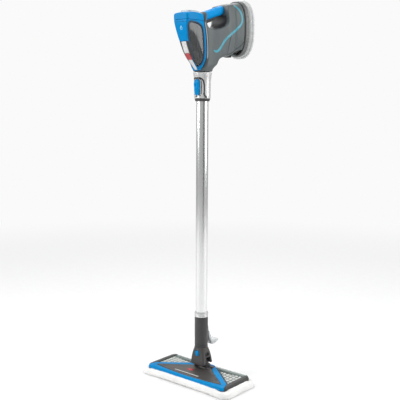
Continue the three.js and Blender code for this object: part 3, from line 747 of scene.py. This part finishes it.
def tank():
    low, high = span("tank_frame")
    low, high = low - 1, high + 1
    mouth_z = 1016

    def shell(x, y, z, wall=WALL):
        skin = tank_skin(x, y, z)
        return carve(skin, skin + wall, 0.4)

    def door_zone(x, y, z, grow=0.0):
        """The front face above the silver strip, from edge to edge."""
        half = FRONT_HALF(z) - 3.5 + grow
        return meet(rounded_max(abs(x) - half, slab(z, DOOR_FOOT - grow, 1040 + grow), 2.5), y + 72)

    def frame_field(x, y, z):
        made = smooth_max(shell(x, y, z), z - TANK_TOP, 0.6)
        made = carve(made, meet(window_at(y, z), 8 - abs(x)), 1.6)
        made = carve(made, door_zone(x, y, z, 0.45), 0.5)
        return carve(made, nose_zone(x, y, z, 0.3), 0.4)

    def nose_zone(x, y, z, grow=0.0):
        """The front strip below the door, down to the collar."""
        return meet(slab(z, 900, DOOR_FOOT - 1.2 + grow), y - NOSE_BACK(z) - grow)

    moulded("tank_frame_blue", frame_field, low, high, 1.0, "blue", "steamer", ["tank_frame"])

    def seal_field(x, y, z):
        skin = tank_skin(x, y, z)
        band = meet(window_at(y, z, -0.25), -window_at(y, z, -3.4))
        return rounded_max(band, slab(skin, -3.4, -0.5), 0.5)

    for name, side in SIDES:
        half = lambda x, y, z, side=side: meet(seal_field(x, y, z), 6 - side * x)
        moulded(f"window_seal_{name}", half, low, high, 0.9, "navy", "steamer")

    def glass_field(x, y, z):
        skin = tank_skin(x, y, z)
        pane = rounded_max(window_at(y, z, -3.7), skin + 0.9, 2.5)
        core = rounded_max(skin + WALL + 1.4, z - 1045.4, 2)
        outer = smooth_min(pane, meet(core, 930 - z), 1.0)
        mouth = meet(length(x, z - mouth_z) - 9, y + 70)
        return carve(carve(outer, outer + 1.9, 0.4), mouth, 0.5)

    moulded("water_tank_smoke", glass_field, low, high, 1.1, "smoke", "steamer", ["water_tank"])

    def filter_field(x, y, z):
        can = rounded_max(length(x, y + 38) - 8.5, slab(z, 940, 976), 1.5)
        ribs = 0.5 * np.cos((z - 940) * 2 * math.pi / 5)
        pipe = meet(length(x, y + 30) - 2.6, slab(z, 960, 1036))
        return smooth_min(can + ribs * (abs(z - 958) < 14), pipe, 1.5)

    moulded("tank_filter", filter_field, (-10, -48, 938), (10, -26, 1038), 1.0, "black", "steamer")

    def cap_field(x, y, z):
        made = smooth_max(tank_skin(x, y, z), TANK_TOP + 0.6 - z, 0.7)
        lid = rounded_max(superellipse(x, y + 53, 20.5, 25.5, 4), CAP_TOP - 11 - z, 0.5)
        return carve(made, lid, 0.7)

    cap_low, cap_high = span("tank_end_cap")
    moulded("end_cap_blue", cap_field, cap_low, cap_high, 1.0, "blue", "steamer", ["tank_end_cap"])

    def lid_field(x, y, z):
        crown = z - CAP_TOP - 1 + 0.003 * ((y + 57) ** 2 + x * x)
        plate = rounded_max(superellipse(x, y + 53, 20, 25, 4), meet(crown, CAP_TOP - 10.6 - z), 1.6)
        notch = meet(abs(y + 26) - 2.2, 11 - abs(x))
        return carve(plate, notch, 0.8)

    moulded("end_cap_lid", lid_field, cap_low, cap_high + (0, 0, 2), 1.0, "pale", "steamer")

    def door_field(x, y, z):
        made = rounded_max(shell(x, y, z), door_zone(x, y, z), 0.8)
        drop = drop_icon(x, z)
        return carve(made, meet(drop, -(tank_skin(x, y, z) + 0.5)), 0.2)

    moulded("fill_door_blue", door_field, (-26, -97, 988), (26, -70, 1042), 0.8,
            "blue", "fill_door", ["fill_door"])

    def icon_field(x, y, z):
        skin = tank_skin(x, y, z)
        return meet(drop_icon(x, z) + 0.1, skin + 0.05, -(skin + 1.2))

    moulded("fill_icon", icon_field, (-8, -97, 1017), (8, -80, 1033), 0.5, "sky", "fill_door")

    # Below the door a silver strip runs down between two dark cheeks, over a plain badge; the strip's silver
    # is a painted reflection of light on the glossy front.
    def strip_half(z):
        return 8.5 - 4.0 * np.clip((957 - z) / 46, 0, 1)

    def nose_field(x, y, z):
        made = rounded_max(shell(x, y, z), nose_zone(x, y, z, -0.2), 0.6)
        return carve(made, meet(abs(x) - strip_half(z) - 0.3, y - FRONT(z) - 3), 0.4)

    moulded("nose_cheeks", nose_field, (-24, -90, 908), (24, -26, 992), 0.9, "dark", "steamer")

    # Painted reflection: the strip is silver where the glossy dark front catches the light.
    def strip_field(x, y, z):
        skin = tank_skin(x, y, z)
        made = rounded_max(abs(x) - strip_half(z), slab(skin, -2.2, 0.8), 0.9)
        made = meet(made, slab(z, 914, DOOR_FOOT - 1.5), y - FRONT(z) - 9)
        return carve(made, meet(slab(z, 939, 958), -(skin + 0.2)), 0.3)

    moulded("front_strip_painted_reflection", strip_field, (-9, -90, 913), (9, -30, 990), 0.7,
            "silver", "steamer", ["front_trim"])

    def badge_field(x, y, z):
        skin = tank_skin(x, y, z)
        face = rounded_max(abs(x) - 8.6, slab(z, 940, 957), 3)
        return rounded_max(face, slab(skin, -1.5, 1.2), 0.7)

    moulded("badge_front", badge_field, (-9, -75, 938), (9, -50, 959), 0.6,
            "red", "steamer", ["front_badge"])


def drop_icon(x, z):
    """A plain water drop, as an outline in the front face."""
    z = z - 1023
    ball = length(x, z) - 4.2
    point = meet(abs(x) * 0.86 + z * 0.51 - 4.2, -z, z - 8)
    whole = join(ball, point)
    return meet(whole, -(length(x - 0.6, z + 0.4) - 2.2))


tank()


# ---------------------------------------------------------------- hand-held steamer: body, grip and base
SEAM_Y = span("housing_right")[1][1]
DRUM_Z = 1041
SIDE = eased([
    (-30, 909), (26, 909), (31, 920), (35, 932), (42, 944), (53, 951), (80, 958), (112, 961), (112, 1110),
    (84, 1103), (40, 1088), (0, 1076), (-26, 1072), (-25, 1040), (-16, 995), (-14, 945), (-20, 920),
], 2)
FINGERS = eased([
    (-14, 1044), (-12, 1058), (40, 1078), (62, 1084), (73, 1078), (77, 1062), (75, 1048),
    (64, 1038), (30, 1029), (4, 1028), (-8, 1032),
])
HALF_WIDTH = hermite([(-24, 26), (-8, 29.5), (40, 31.5), (84, 33.5), (120, 36)])
GRIP_TILT = math.radians(17.5)
GRIP_START = (-5, 1062)
GRIP_FROM, GRIP_TO = -15, 76


def along_grip(y, z):
    """How far a point lies along the grip's axis, and how far above it."""
    c, s = math.cos(GRIP_TILT), math.sin(GRIP_TILT)
    dy, dz = y - GRIP_START[0], z - GRIP_START[1]
    return dy * c + dz * s, dz * c - dy * s


def drum_oval(x, z, half_x, half_z):
    return superellipse(x, z - DRUM_Z, half_x, half_z, 2.6)


def drum(x, y, z):
    """The round rear part that carries the base."""
    t = np.clip((y - 70) / (SEAM_Y - 70), 0, 1)
    middle = 1027 + (DRUM_Z - 1027) * t**1.2
    half_x, half_z = 32.5 + 7.5 * t**1.3, 71 + 8 * t**1.1
    return smooth_max(superellipse(x, z - middle, half_x, half_z, 3.4 - 0.8 * t), 80 - y, 12)


def body_skin(x, y, z):
    crown = 3.5 * np.clip(1 - abs(z - 1015) / 115, 0, 1) ** 0.6 - 2.2
    front = rounded_max(outline_distance(SIDE, y, z), abs(x) - HALF_WIDTH(y) - crown, 9)
    rise = np.clip(z - 911, 0, 50)
    throat = superellipse(x, y - 1, 26.9 + 0.02 * rise**2, 26.6 + 0.06 * rise**2, 2.2)
    front = smooth_max(front, throat, 3)
    whole = smooth_min(front, drum(x, y, z), 7)
    whole = meet(whole, y - SEAM_Y + 1.2, 909 - z)
    whole = carve(whole, outline_distance(FINGERS, y, z), 6)
    _, n = along_grip(y, z)
    room = meet(GRIP_FROM - y, y - GRIP_TO, -16 - n)
    return carve(whole, room, 1.5)


def body():
    low, high = (-40.5, -31, 909), (40.5, SEAM_Y, 1120)
    inlet_y = (span("cord_inlet")[0][1] + span("cord_inlet")[1][1]) / 2

    def shell(x, y, z):
        skin = body_skin(x, y, z)
        groove = route_distance(PARTING, y, z) - 0.7
        groove = meet(groove, -(skin + 1.2), 12 - abs(x))
        made = carve(skin, groove, 0.5)
        vent = meet(outline_distance(VENT, y, z), 9 - abs(x), -(skin + 4.5))
        made = carve(made, vent, 1.5)
        made = carve(made, skin + WALL, 0.4)
        opening = meet(length(x, y) - 20.9, z - 938)
        gland = meet(length(x, y - inlet_y) - 9, z - 966)
        return carve(carve(made, opening, 0.5), gland, 0.5)

    half = lambda x, y, z: smooth_max(shell(x, y, z), 0.3 - x, 0.7)
    points, faces = net(half, (0, low[1], low[2]), high, 1.15)
    piece("body_right", points, faces, "grey", "steamer", ["housing_right"])
    piece("body_left", points * (-1, 1, 1), faces[:, ::-1], "grey", "steamer", ["housing_left"])

    stripe = [
        (11, 969), (22, 966.5), (36, 972), (60, 999), (86, 1019), (112, 1036), (129, 1049),
        (136, 1066), (133, 1085), (122, 1100), (104, 1109),
    ]
    # Painted highlight: a pale strip along the grey body's front edge, where that edge catches the light.
    edge_highlight_route = [(-11, 944), (-11, 968), (-13.5, 1000), (-21, 1046)]
    for name, side in SIDES:
        ribbon(f"teal_inlay_{name}", body_skin, stripe, 7.4, side, "teal", "steamer")
        ribbon(f"edge_highlight_{name}", body_skin, edge_highlight_route, 2.4, side, "pale", "steamer", proud=0.6)
        ribbon(f"vent_line_{name}", body_skin, VENT_LINE, 1.9, side, "black", "steamer")

    # Painted shade: a black layer inside the vent recess, where its grey walls lie in shadow.
    def vent_shade_lining(x, y, z):
        depth = body_skin(x, y, z) + 4.2
        return rounded_max(outline_distance(VENT, y, z) + 0.2, meet(abs(depth) - 0.7, 9.5 - abs(x)), 0.3)

    def finger_shade_lining(x, y, z):
        # Painted shade: a black lining on the back of the finger opening, behind the trigger, where the grey
        # wall lies in shadow.
        edge = outline_distance(FINGERS, y, z)
        _, n = along_grip(y, z)
        made = meet(abs(edge + 0.1) - 1.1, abs(x) - 25, 34 - y, n + 14.5)
        return rounded_max(made, made, 0.3)

    moulded("vent_shade_black", vent_shade_lining, (-40, 80, 950), (40, SEAM_Y, 984), 1.0, "black", "steamer")
    moulded("finger_shade_lining", finger_shade_lining, (-27, 30, 1024), (27, 80, 1072), 0.9, "black", "steamer")


PARTING = [(71, 940), (74, 968), (82, 1001), (90, 1026)]
VENT = eased([(86, 957), (100, 966.5), (142, 979), (152, 980), (152, 964), (112, 958)], 2)
VENT_LINE = [(76, 959.5), (97, 970), (123, 983), (138, 993), (146, 1004)]


def grip():
    middle = 42

    def sleeve(x, y, z):
        s, n = along_grip(y, z)
        waist = 1 - 0.07 * np.exp(-(((s - middle) / 22) ** 2))
        tube = superellipse(x, n, 15.5 * waist, 13 * waist, 2.5)
        made = rounded_max(tube, meet(GRIP_FROM + 0.4 - y, y - GRIP_TO + 0.4), 0.8)
        hollow = superellipse(x, n, 12.5, 10, 2.5)
        slot = meet(abs(x) - 4.8, slab(s, 5.5, 50.5), n + 2)
        ribs = 0.35 * ridges(s, 5.2) * (n > 2) * (abs(x) < 7) * (abs(s - 46) < 23)
        return carve(carve(made + ribs * 0.8, hollow, 0.4), slot, 0.8)

    low, high = span("grip")
    moulded("grip_blue", sleeve, low - (0, 11, 4), high, 1.0, "grip", "steamer", ["grip"])

    outline = eased([
        (8, -4), (8, -17), (13, -22), (22, -20.5), (31, -21.5),
        (45, -18), (47.4, -9), (36, -6), (20, -3), (12, 1),
    ], 2)
    pin_s, pin_n = 12, -3.4

    def trigger_field(x, y, z):
        s, n = along_grip(y, z)
        blade = rounded_max(outline_distance(outline, s, n), abs(x) - 4, 1.4)
        return smooth_max(blade, 1.62 - length(s - pin_s, n - pin_n), 0.3)

    moulded("trigger_black", trigger_field, *span("trigger"), 0.7, "black", "trigger", ["trigger"])


def base():
    (_, plate_y, _), (_, plate_end, _) = span("base_plate")
    (_, flange_y, _), (flange_x, flange_end, flange_z) = span("cord_flange")
    flange_half = flange_z - DRUM_Z

    def gasket_field(x, y, z):
        ring = drum_oval(x, z, 40.9, 79.9)
        return rounded_max(meet(ring, -(ring + 3)), slab(y, SEAM_Y - 4.2, SEAM_Y + 1.4), 0.8)

    moulded("seam_gasket", gasket_field, (-41.5, SEAM_Y - 5, 960), (41.5, SEAM_Y + 2, 1122), 1.0,
            "black", "steamer", slot="rubber")

    def plate_field(x, y, z):
        t = np.clip((y - plate_y) / (plate_end - plate_y), 0, 1)
        ring = drum_oval(x, z, 40.3 + 3.4 * t, 79.2 + 2.4 * t)
        ribs = 0.5 * np.clip(np.cos(np.arctan2(x * 2, z - DRUM_Z) * 60), 0, 1) * (t > 0.35)
        made = rounded_max(ring - ribs, slab(y, plate_y + 1, plate_end), 1.0)
        return smooth_max(made, 6 - length(x, z - DRUM_Z), 0.5)

    moulded("base_dark", plate_field, (-45, plate_y, 958), (45, plate_end, 1124), 1.1,
            "base", "steamer", ["base_plate"])

    def flange_field(x, y, z):
        t = np.clip((y - flange_y) / (flange_end - flange_y), 0, 1)
        half_x, half_z = flange_x - 9.5 * (1 - t) ** 2, flange_half - 7.5 * (1 - t) ** 2
        rim = rounded_max(drum_oval(x, z, half_x, half_z), slab(y, flange_y, flange_end), 2.2)
        step = drum_oval(x, z, flange_x - 3.6, flange_half - 3.6)
        dish = drum_oval(x, z, flange_x - 13, flange_half - 13)
        made = carve(rim, meet(dish, flange_y + 6.6 - y), 1.2)
        bead = meet(abs(step) - 0.6, y - flange_y - 7)
        return carve(made, bead, 0.5)

    moulded("flange_frost", flange_field, (-55, flange_y, 953), (55, flange_end, 1129), 1.2,
            "frost", "steamer", ["cord_flange"])

    for name in ("upper", "lower"):
        (_, y0, z0), (_, y1, z1) = span(f"base_foot_{name}")
        lathe(f"foot_{name}", [(0.2, y0), (12, y0), (11, y1), (8, y1), (7.4, y1 - 0.8), (0.2, y1 - 0.8)],
              "rubber", "steamer", [f"base_foot_{name}"], r=0.6, centre=(0, (z0 + z1) / 2), axis="y")

    (_, y0, z0), (_, y1, z1) = span("cord_inlet")
    lathe("inlet_bush", [(4, z0 + 4), (10, z0 + 4), (10.5, z1 - 4), (8.6, z1 - 3), (8.6, z1), (4, z1)],
          "rubber", "steamer", ["cord_inlet"], r=0.8, centre=(0, (y0 + y1) / 2), sides=64)


body()
grip()
base()


# ---------------------------------------------------------------- swivel and neck
TILT_Y, TILT_Z, ROLL_Z = 5, 41, 60
BORE = 3.06  # radius of the holes that the two pins run in


def swivel():
    def yoke_field(x, y, z):
        across = rounded_max(length(y - TILT_Y, z - TILT_Z) - 8.6, abs(x) - 19.5, 1.2)
        post = block(x, y, z, (-11, TILT_Y - 8, TILT_Z), (11, TILT_Y + 8, ROLL_Z), 2)
        head = rounded_max(length(x, z - ROLL_Z) - 11, abs(y - TILT_Y) - 8.2, 1.2)
        # Shoulders that stay under the neck's slot when it rolls.
        roof = 0.574 * abs(x) + 0.819 * (z - ROLL_Z) - 5.8
        shoulder = meet(abs(x) - 22, abs(y - TILT_Y) - 8.4, roof, 50.6 - z)
        made = smooth_min(smooth_min(smooth_min(across, post, 3), head, 2), rounded_max(shoulder, roof, 1), 2)
        made = smooth_max(made, BORE - length(y - TILT_Y, z - TILT_Z), 0.3)
        return smooth_max(made, BORE - length(x, z - ROLL_Z), 0.3)

    moulded("yoke", yoke_field, (-22.5, -4, 32), (22.5, 14, 71.5), 0.9, "dark", "yoke", ["swivel_yoke"])

    (_, _, _), (_, _, top) = span("neck_front")
    socket, slot, button_z, port_z = 15.4, 9.7, 80.5, 76
    half_x = hermite([(44, 25.8), (52, 25), (62, 24), (72, 22.9), (82, 21.8), (92, 20.7), (97, 20.3)])
    half_y = hermite([(44, 21.9), (52, 21.5), (62, 20.8), (72, 20.3), (82, 20.2), (92, 20.2), (97, 20.3)])
    centre_y = hermite([(44, 2.4), (52, 2), (72, 1.2), (92, 0.3), (97, 0)])
    corner = hermite([(44, 3), (62, 4), (72, 6), (82, 10), (92, 17), (97, 20.3)])

    def sleeve(x, y, z):
        """Four flat faces with firm edges, which turn round towards the top."""
        return rounded_max(abs(x) - half_x(z), abs(y - centre_y(z)) - half_y(z), corner(z))

    def neck_outside(x, y, z):
        lip = smooth_max(sleeve(x, y, z), slab(z, 44, top), 1.2)
        foot = np.where(y > 9, 48.5, 51.5) - 0.85 * np.clip(-y - 2, 0, 9)
        cheek = 0.3 * np.clip(abs(x) - 17, 0, 9) * (y < 0)
        return smooth_max(lip, foot + cheek - z, 1.5)

    def neck_field(x, y, z):
        made = neck_outside(x, y, z)
        gap = meet(abs(y - TILT_Y) - slot, z - 67)
        gap = smooth_min(gap, meet(length(x, z - ROLL_Z) - 15, abs(y - TILT_Y) - slot), 1)
        made = carve(made, gap, 1.0)
        made = carve(made, meet(length(x, y) - socket, 79 - z), 0.6)
        made = carve(made, meet(length(x, z - ROLL_Z) - BORE - 0.02, -17 - y), 0.3)
        pocket = rounded_max(superellipse(x, z - button_z, 7.8, 8.6, 5), meet(y + 13.5, -y - 60), 0.5)
        made = carve(made, pocket, 0.9)
        # A dark port on each side, high up, and a fine line below the top edge.
        port = meet(superellipse(y - 0.5, z - port_z, 8.6, 6, 3), 18.6 - abs(x))
        made = carve(made, port, 0.9)
        line = meet(abs(z - (top - 3.2)) - 0.5, -(neck_outside(x, y, z) + 0.8))
        return carve(made, line, 0.4)

    for name, side in (("front", -1), ("rear", 1)):
        field = lambda x, y, z, side=side: smooth_max(neck_field(x, y, z), 0.2 - side * y, 0.6)
        low, high = ((-26, -20.5, 43), (26, 0, top)) if side < 0 else ((-26, 0, 43), (26, 25, top))
        moulded(f"neck_{name}_shell", field, low, high, 0.9, "deck", "neck", [f"neck_{name}"])

    def port_field(x, y, z):
        plate = rounded_max(superellipse(y - 0.5, z - port_z, 8.4, 5.8, 3), slab(abs(x), 16.2, 18.9), 0.5)
        return meet(plate, 0.4 * np.cos((y - 0.5) * 2 * math.pi / 3) + abs(x) - 18.8)

    for name, side in SIDES:
        low, high = ((16, -8.5, 70), (19.4, 9.5, 82)) if side > 0 else ((-19.4, -8.5, 70), (-16, 9.5, 82))
        moulded(f"neck_port_{name}", port_field, low, high, 0.7, "black", "neck")

    def button_field(x, y, z):
        face = superellipse(x, z - button_z, 6.9, 7.7, 5)
        front = -21.6 + 0.02 * (x * x + (z - button_z) ** 2)
        cap = rounded_max(face, meet(front - y, y + 17.4), 1.2)
        grip_lines = 0.4 * ridges(z - button_z, 3.2) * (abs(z - button_z) < 4.5)
        return cap + np.where(y < -18.5, grip_lines * 0.5, 0)

    moulded("button_lower", button_field, (-7, -22, 72), (7, -17, 89), 0.6,
            "blue", "neck_button", ["neck_button"])


# ---------------------------------------------------------------- mop head
(_, DECK_FRONT, _), (DECK_X, DECK_BACK, _) = span("sole_plate")
DECK_Z, EDGE_Z, DECK_CORNER = 22, 29, 16
COVER = eased([
    (-124, -63), (-70, -71), (0, -74), (70, -71), (124, -63), (127, -60), (27, 12),
    (27, 30), (24, 38), (-24, 38), (-27, 30), (-27, 12), (-127, -60),
], 2)
RIBS = eased([(60, 21), (66, 14), (131, -37), (134, -37), (134, 24), (130, 28), (116, 28)], 1)


def deck_rectangle(x, y, lean=0.0):
    """The deck's rounded outline, drawn in by lean."""
    return rounded_max(abs(x) - DECK_X + lean, slab(y, DECK_FRONT, DECK_BACK) + lean, DECK_CORNER)


def deck_outline(x, y, z):
    """The deck's outline, which leans in as it rises."""
    return deck_rectangle(x, y, 0.3 * np.clip(z - DECK_Z, 0, 8))


def end_line(x, y):
    """Negative beyond the line where the dark end caps start."""
    return 136.5 + 13 * np.clip((-44 - y) / 36, 0, 1) ** 1.3 - abs(x)


def window_side(x, y):
    """Negative on the window's side of the slanting blue band."""
    return 45.2 - 0.616 * abs(x) - 0.788 * y


def cover_top(x, y):
    """The cover rises from its front and slanting edges, with a crease where they meet."""
    front, slant = y + 73, 25.6 - 0.585 * abs(x) - 0.811 * y
    rise = smooth_min(0.055 * front, 0.30 * slant, 0.5)
    return 29.7 + np.clip(smooth_min(rise, 4.6, 0.6), -0.3, 5)


def mop_head():
    low = (-DECK_X, DECK_FRONT, 17.5)
    deck_high = (DECK_X, DECK_BACK, 31)

    def tilt_room(x, y, z):
        return rounded_max(meet(abs(x) - 26.4, -5.5 - y, y - 26), 24 - z, 1.5)

    def deck_body(x, y, z, round_by=2.2):
        """The deck, with a thin skirt that comes down over the sole."""
        solid = rounded_max(deck_outline(x, y, z), slab(z, 18.4, EDGE_Z), round_by)
        return carve(solid, meet(deck_outline(x, y, z) + 1.8, z - DECK_Z), 0.4)

    def frame_field(x, y, z):
        made = carve(deck_body(x, y, z), outline_distance(COVER, x, y) - 0.35, 0.8)
        window = meet(window_side(x, y) - 0.3, -end_line(x, y))
        made = carve(made, window, 0.8)
        made = smooth_max(made, 0.35 - end_line(x, y), 0.6)
        return carve(made, tilt_room(x, y, z), 0.5)

    moulded("deck_blue", frame_field, low, deck_high, 1.15, "blue", "head", ["blue_frame"])

    def cap_field(x, y, z):
        return smooth_max(deck_body(x, y, z, 2.6), end_line(x, y), 0.9)

    def pane_field(x, y, z):
        """A clear skin over the ribs, which turns down over the back edge."""
        body = deck_body(x, y, z, 2.4) + 0.3
        made = smooth_max(body, meet(window_side(x, y), 0.4 - end_line(x, y)), 0.8)
        return carve(made, made + 1.6, 0.4)

    def floor_field(x, y, z):
        made = meet(window_side(x, y) + 0.6, 0.8 - end_line(x, y), deck_outline(x, y, z) + 3)
        return rounded_max(made, slab(z, DECK_Z, 23), 0.3)

    def rib_field(x, y, z):
        rows = abs(np.mod(x - 57, 13) - 6.5) - 4.3
        bars = 1.9 - abs(np.mod(y + 0.16 * x, 14.5) - 7.25)
        made = meet(rows, bars, outline_distance(RIBS, x, y))
        return rounded_max(made, slab(z, 22.9, 26.6), 1.0)

    def rail_field(x, y, z):
        across = abs(y - 37.5 - 0.03 * (x - 80)) - 5.2
        made = meet(across, window_side(x, y) + 4, 2.2 - end_line(x, y))
        return rounded_max(made, slab(z, 22.9, 26.9), 1.4)

    for part, shape, look, node, low_x, cell in (
        ("end_cap", cap_field, "dark", "end_cap", 132, 1.0),
        ("window_pane", pane_field, "clear", "window", 4, 0.9),
        ("window_floor", floor_field, "dark", None, 4, 1.2),
        ("window_ribs", rib_field, "rib", "grille", 56, 0.9),
        ("window_rail", rail_field, "sage", None, 10, 1.0),
    ):
        points, faces = net(shape, (low_x, DECK_FRONT, 17.5), (DECK_X, DECK_BACK, EDGE_Z), cell)
        for end, side in SIDES:
            piece(f"{part}_{end}_part", points * (side, 1, 1), faces[:, ::side],
                  look, "head", [f"{node}_{end}"] if node else ())

    def cover_field(x, y, z):
        made = rounded_max(outline_distance(COVER, x, y), meet(z - cover_top(x, y), DECK_Z - z), 1.8)
        made = carve(made, tilt_room(x, y, z), 1.0)
        ears = meet(abs(abs(x) - 22.75) - 2.75, abs(y - TILT_Y) - 9)
        dome = meet(length(y - TILT_Y, z - TILT_Z) - 9, ears)
        legs = meet(ears, z - TILT_Z, DECK_Z + 1 - z)
        made = smooth_min(made, carve(join(dome, legs), 0.4, 0.8), 3)
        step = meet(abs(outline_distance(COVER, x, y) + 9) - 0.5, -(z - cover_top(x, y) + 0.6))
        made = carve(made, meet(step, y - 4), 0.4)
        return smooth_max(made, BORE - length(y - TILT_Y, z - TILT_Z), 0.3)

    moulded("cover", cover_field, (-128, -75, DECK_Z), (128, 39, 51), 1.1, "deck", "head", ["head_cover"])

    def badge_field(x, y, z):
        oval = superellipse(x + 12.5, y + 35, 11.5, 6.5, 2.6)
        return rounded_max(oval, meet(z - cover_top(x, y) - 0.7, cover_top(x, y) - 1.5 - z), 0.5)

    moulded("badge_deck", badge_field, (-25, -42, 28), (0, -28, 37), 0.6, "red", "head", ["head_badge"])

    def strip_field(x, y, z):
        bar = rounded_max(abs(x + 6) - 46, abs(y + 59.5) - 1.4, 1.3)
        return rounded_max(bar, meet(z - cover_top(x, y) - 0.5, cover_top(x, y) - 1.5 - z), 0.4)

    moulded("deck_strip", strip_field, (-53, -62, 27), (41, -57, 35), 0.7, "pale", "head")

    for name, side in SIDES:
        x0, x1 = sorted((side * 25.7, side * 26.9))
        lathe(f"tilt_cap_{name}", [(0.2, x0), (4.4, x0), (4.4, x1), (0.2, x1)],
              "dark", "head", r=0.4, sides=40, centre=(TILT_Y, TILT_Z), axis="x")

    def sole_field(x, y, z):
        made = rounded_max(deck_outline(x, y, z) + 2.3 * (z > 17.5), slab(z, 13.6, 21.6), 1.2)
        channel = block(x, y, z, (-120, -20, 17.6), (120, -12, 40), 0.5)
        holes = length(np.mod(x + 18, 36) - 18, y + 16) - 2.5 + 100 * (abs(x) > 120)
        return carve(carve(made, channel, 0.3), holes, 0.3)

    moulded("sole", sole_field, (-DECK_X, DECK_FRONT, 13), (DECK_X, DECK_BACK, 22), 1.4,
            "dark", "head", ["sole_plate"])


swivel()
mop_head()


# ---------------------------------------------------------------- mop pad
def mop_pad():
    """A padded microfibre pad: a soft rim round a pocket that the head sits in."""
    low, high = span("mop_pad")
    corner, play, pocket_floor = 24, 1.2, 11.4
    grown = 4.5  # the meshing takes some of this off again

    def outline(x, y):
        return rounded_max(abs(x) - high[0], slab(y, low[1], high[1]), corner)

    def pocket(x, y):
        return deck_rectangle(x, y, -play)

    def pad_field(x, y, z):
        made = rounded_max(outline(x, y) - grown, slab(z, 0, high[2] + 1), 8)
        return carve(made, meet(pocket(x, y), pocket_floor - z), 1.2)

    points, faces = net(pad_field, low - 8, high + 8, 3.0)
    made = piece("mop_pad_soft", points, faces, "pad", "head", ["mop_pad"])
    swell(made)

    divide = made.modifiers.new("divide", "SUBSURF")
    divide.levels = divide.render_levels = 1
    apply(made, "divide")
    mesh = made.data
    mesh.calc_loop_triangles()
    co = vertex_places(mesh) / MM
    normal = np.empty(co.size)
    mesh.vertices.foreach_get("normal", normal)
    normal = normal.reshape(-1, 3)
    x, y, z = co.T
    # Tufts and clumps of pile all over but in the pocket, and a seam sunk round the rim.
    tufts = np.sin(x * 1.9 + 1.3 * np.sin(y * 0.7)) * np.sin(y * 1.7 + 1.1 * np.sin(x * 0.6))
    tufts *= np.sin(z * 1.6 + 0.4 * x)
    clumps = np.sin(x * 0.31 + 2 * np.sin(y * 0.13)) * np.sin(y * 0.37 + 1.4 * np.sin(x * 0.11))
    side = np.clip((outline(x, y) + 6) / 5, 0, 1)
    seam = np.exp(-(((z - 13.2) / 1.1) ** 2)) * side
    inside = np.clip(-pocket(x, y) / 3, 0, 1) * (z > 5)
    rise = (0.32 * tufts + 0.35 * clumps) * (1 - seam) - 0.8 * seam
    co += normal * (rise * (1 - inside))[:, None]
    co[:, 2] = np.maximum(co[:, 2], 0.02)
    mesh.vertices.foreach_set("co", (co * MM).ravel())
    mesh.update()


def apply(obj, name):
    bpy.context.view_layer.objects.active = obj
    obj.select_set(True)
    bpy.ops.object.modifier_apply(modifier=name)
    obj.select_set(False)


def vertex_places(mesh):
    places = np.empty(len(mesh.vertices) * 3)
    mesh.vertices.foreach_get("co", places)
    return places.reshape(-1, 3)


def swell(pad):
    """Cloth under pressure fills the pad out, and no point moves more than a few millimetres."""
    frames, most, top = 20, 0.0035, 0.0215
    remesh = pad.modifiers.new("remesh", "REMESH")
    remesh.mode, remesh.voxel_size, remesh.use_smooth_shade = "VOXEL", 0.0045, True
    apply(pad, "remesh")
    start = vertex_places(pad.data)
    cloth = pad.modifiers.new("cloth", "CLOTH")
    settings = cloth.settings
    settings.quality, settings.mass = 4, 0.2
    settings.tension_stiffness = settings.compression_stiffness = 12
    settings.bending_stiffness = 0.6
    settings.use_pressure, settings.uniform_pressure_force = True, 4
    settings.effector_weights.gravity = 0
    cloth.point_cache.frame_start, cloth.point_cache.frame_end = 1, frames
    scene = bpy.context.scene
    for step in range(1, frames + 1):
        scene.frame_set(step)
    apply(pad, "cloth")
    scene.frame_set(1)
    move = np.nan_to_num(vertex_places(pad.data) - start)
    reach = np.linalg.norm(move, axis=1, keepdims=True)
    move *= np.minimum(1, most / np.maximum(reach, 1e-9))
    x, y, z = start.T / MM
    # Above 8 mm only the rim swells, so that the pocket keeps to the head's shape.
    rim = np.clip(np.maximum(np.abs(x) - 146, slab(y, -76, 43)) / 6, 0, 1)
    move *= np.where(z > 8, rim, 1)[:, None]
    end = start + move
    end[:, 2] = np.clip(end[:, 2], 0.0001, top)
    pad.data.vertices.foreach_set("co", end.ravel())
    pad.data.update()


mop_pad()
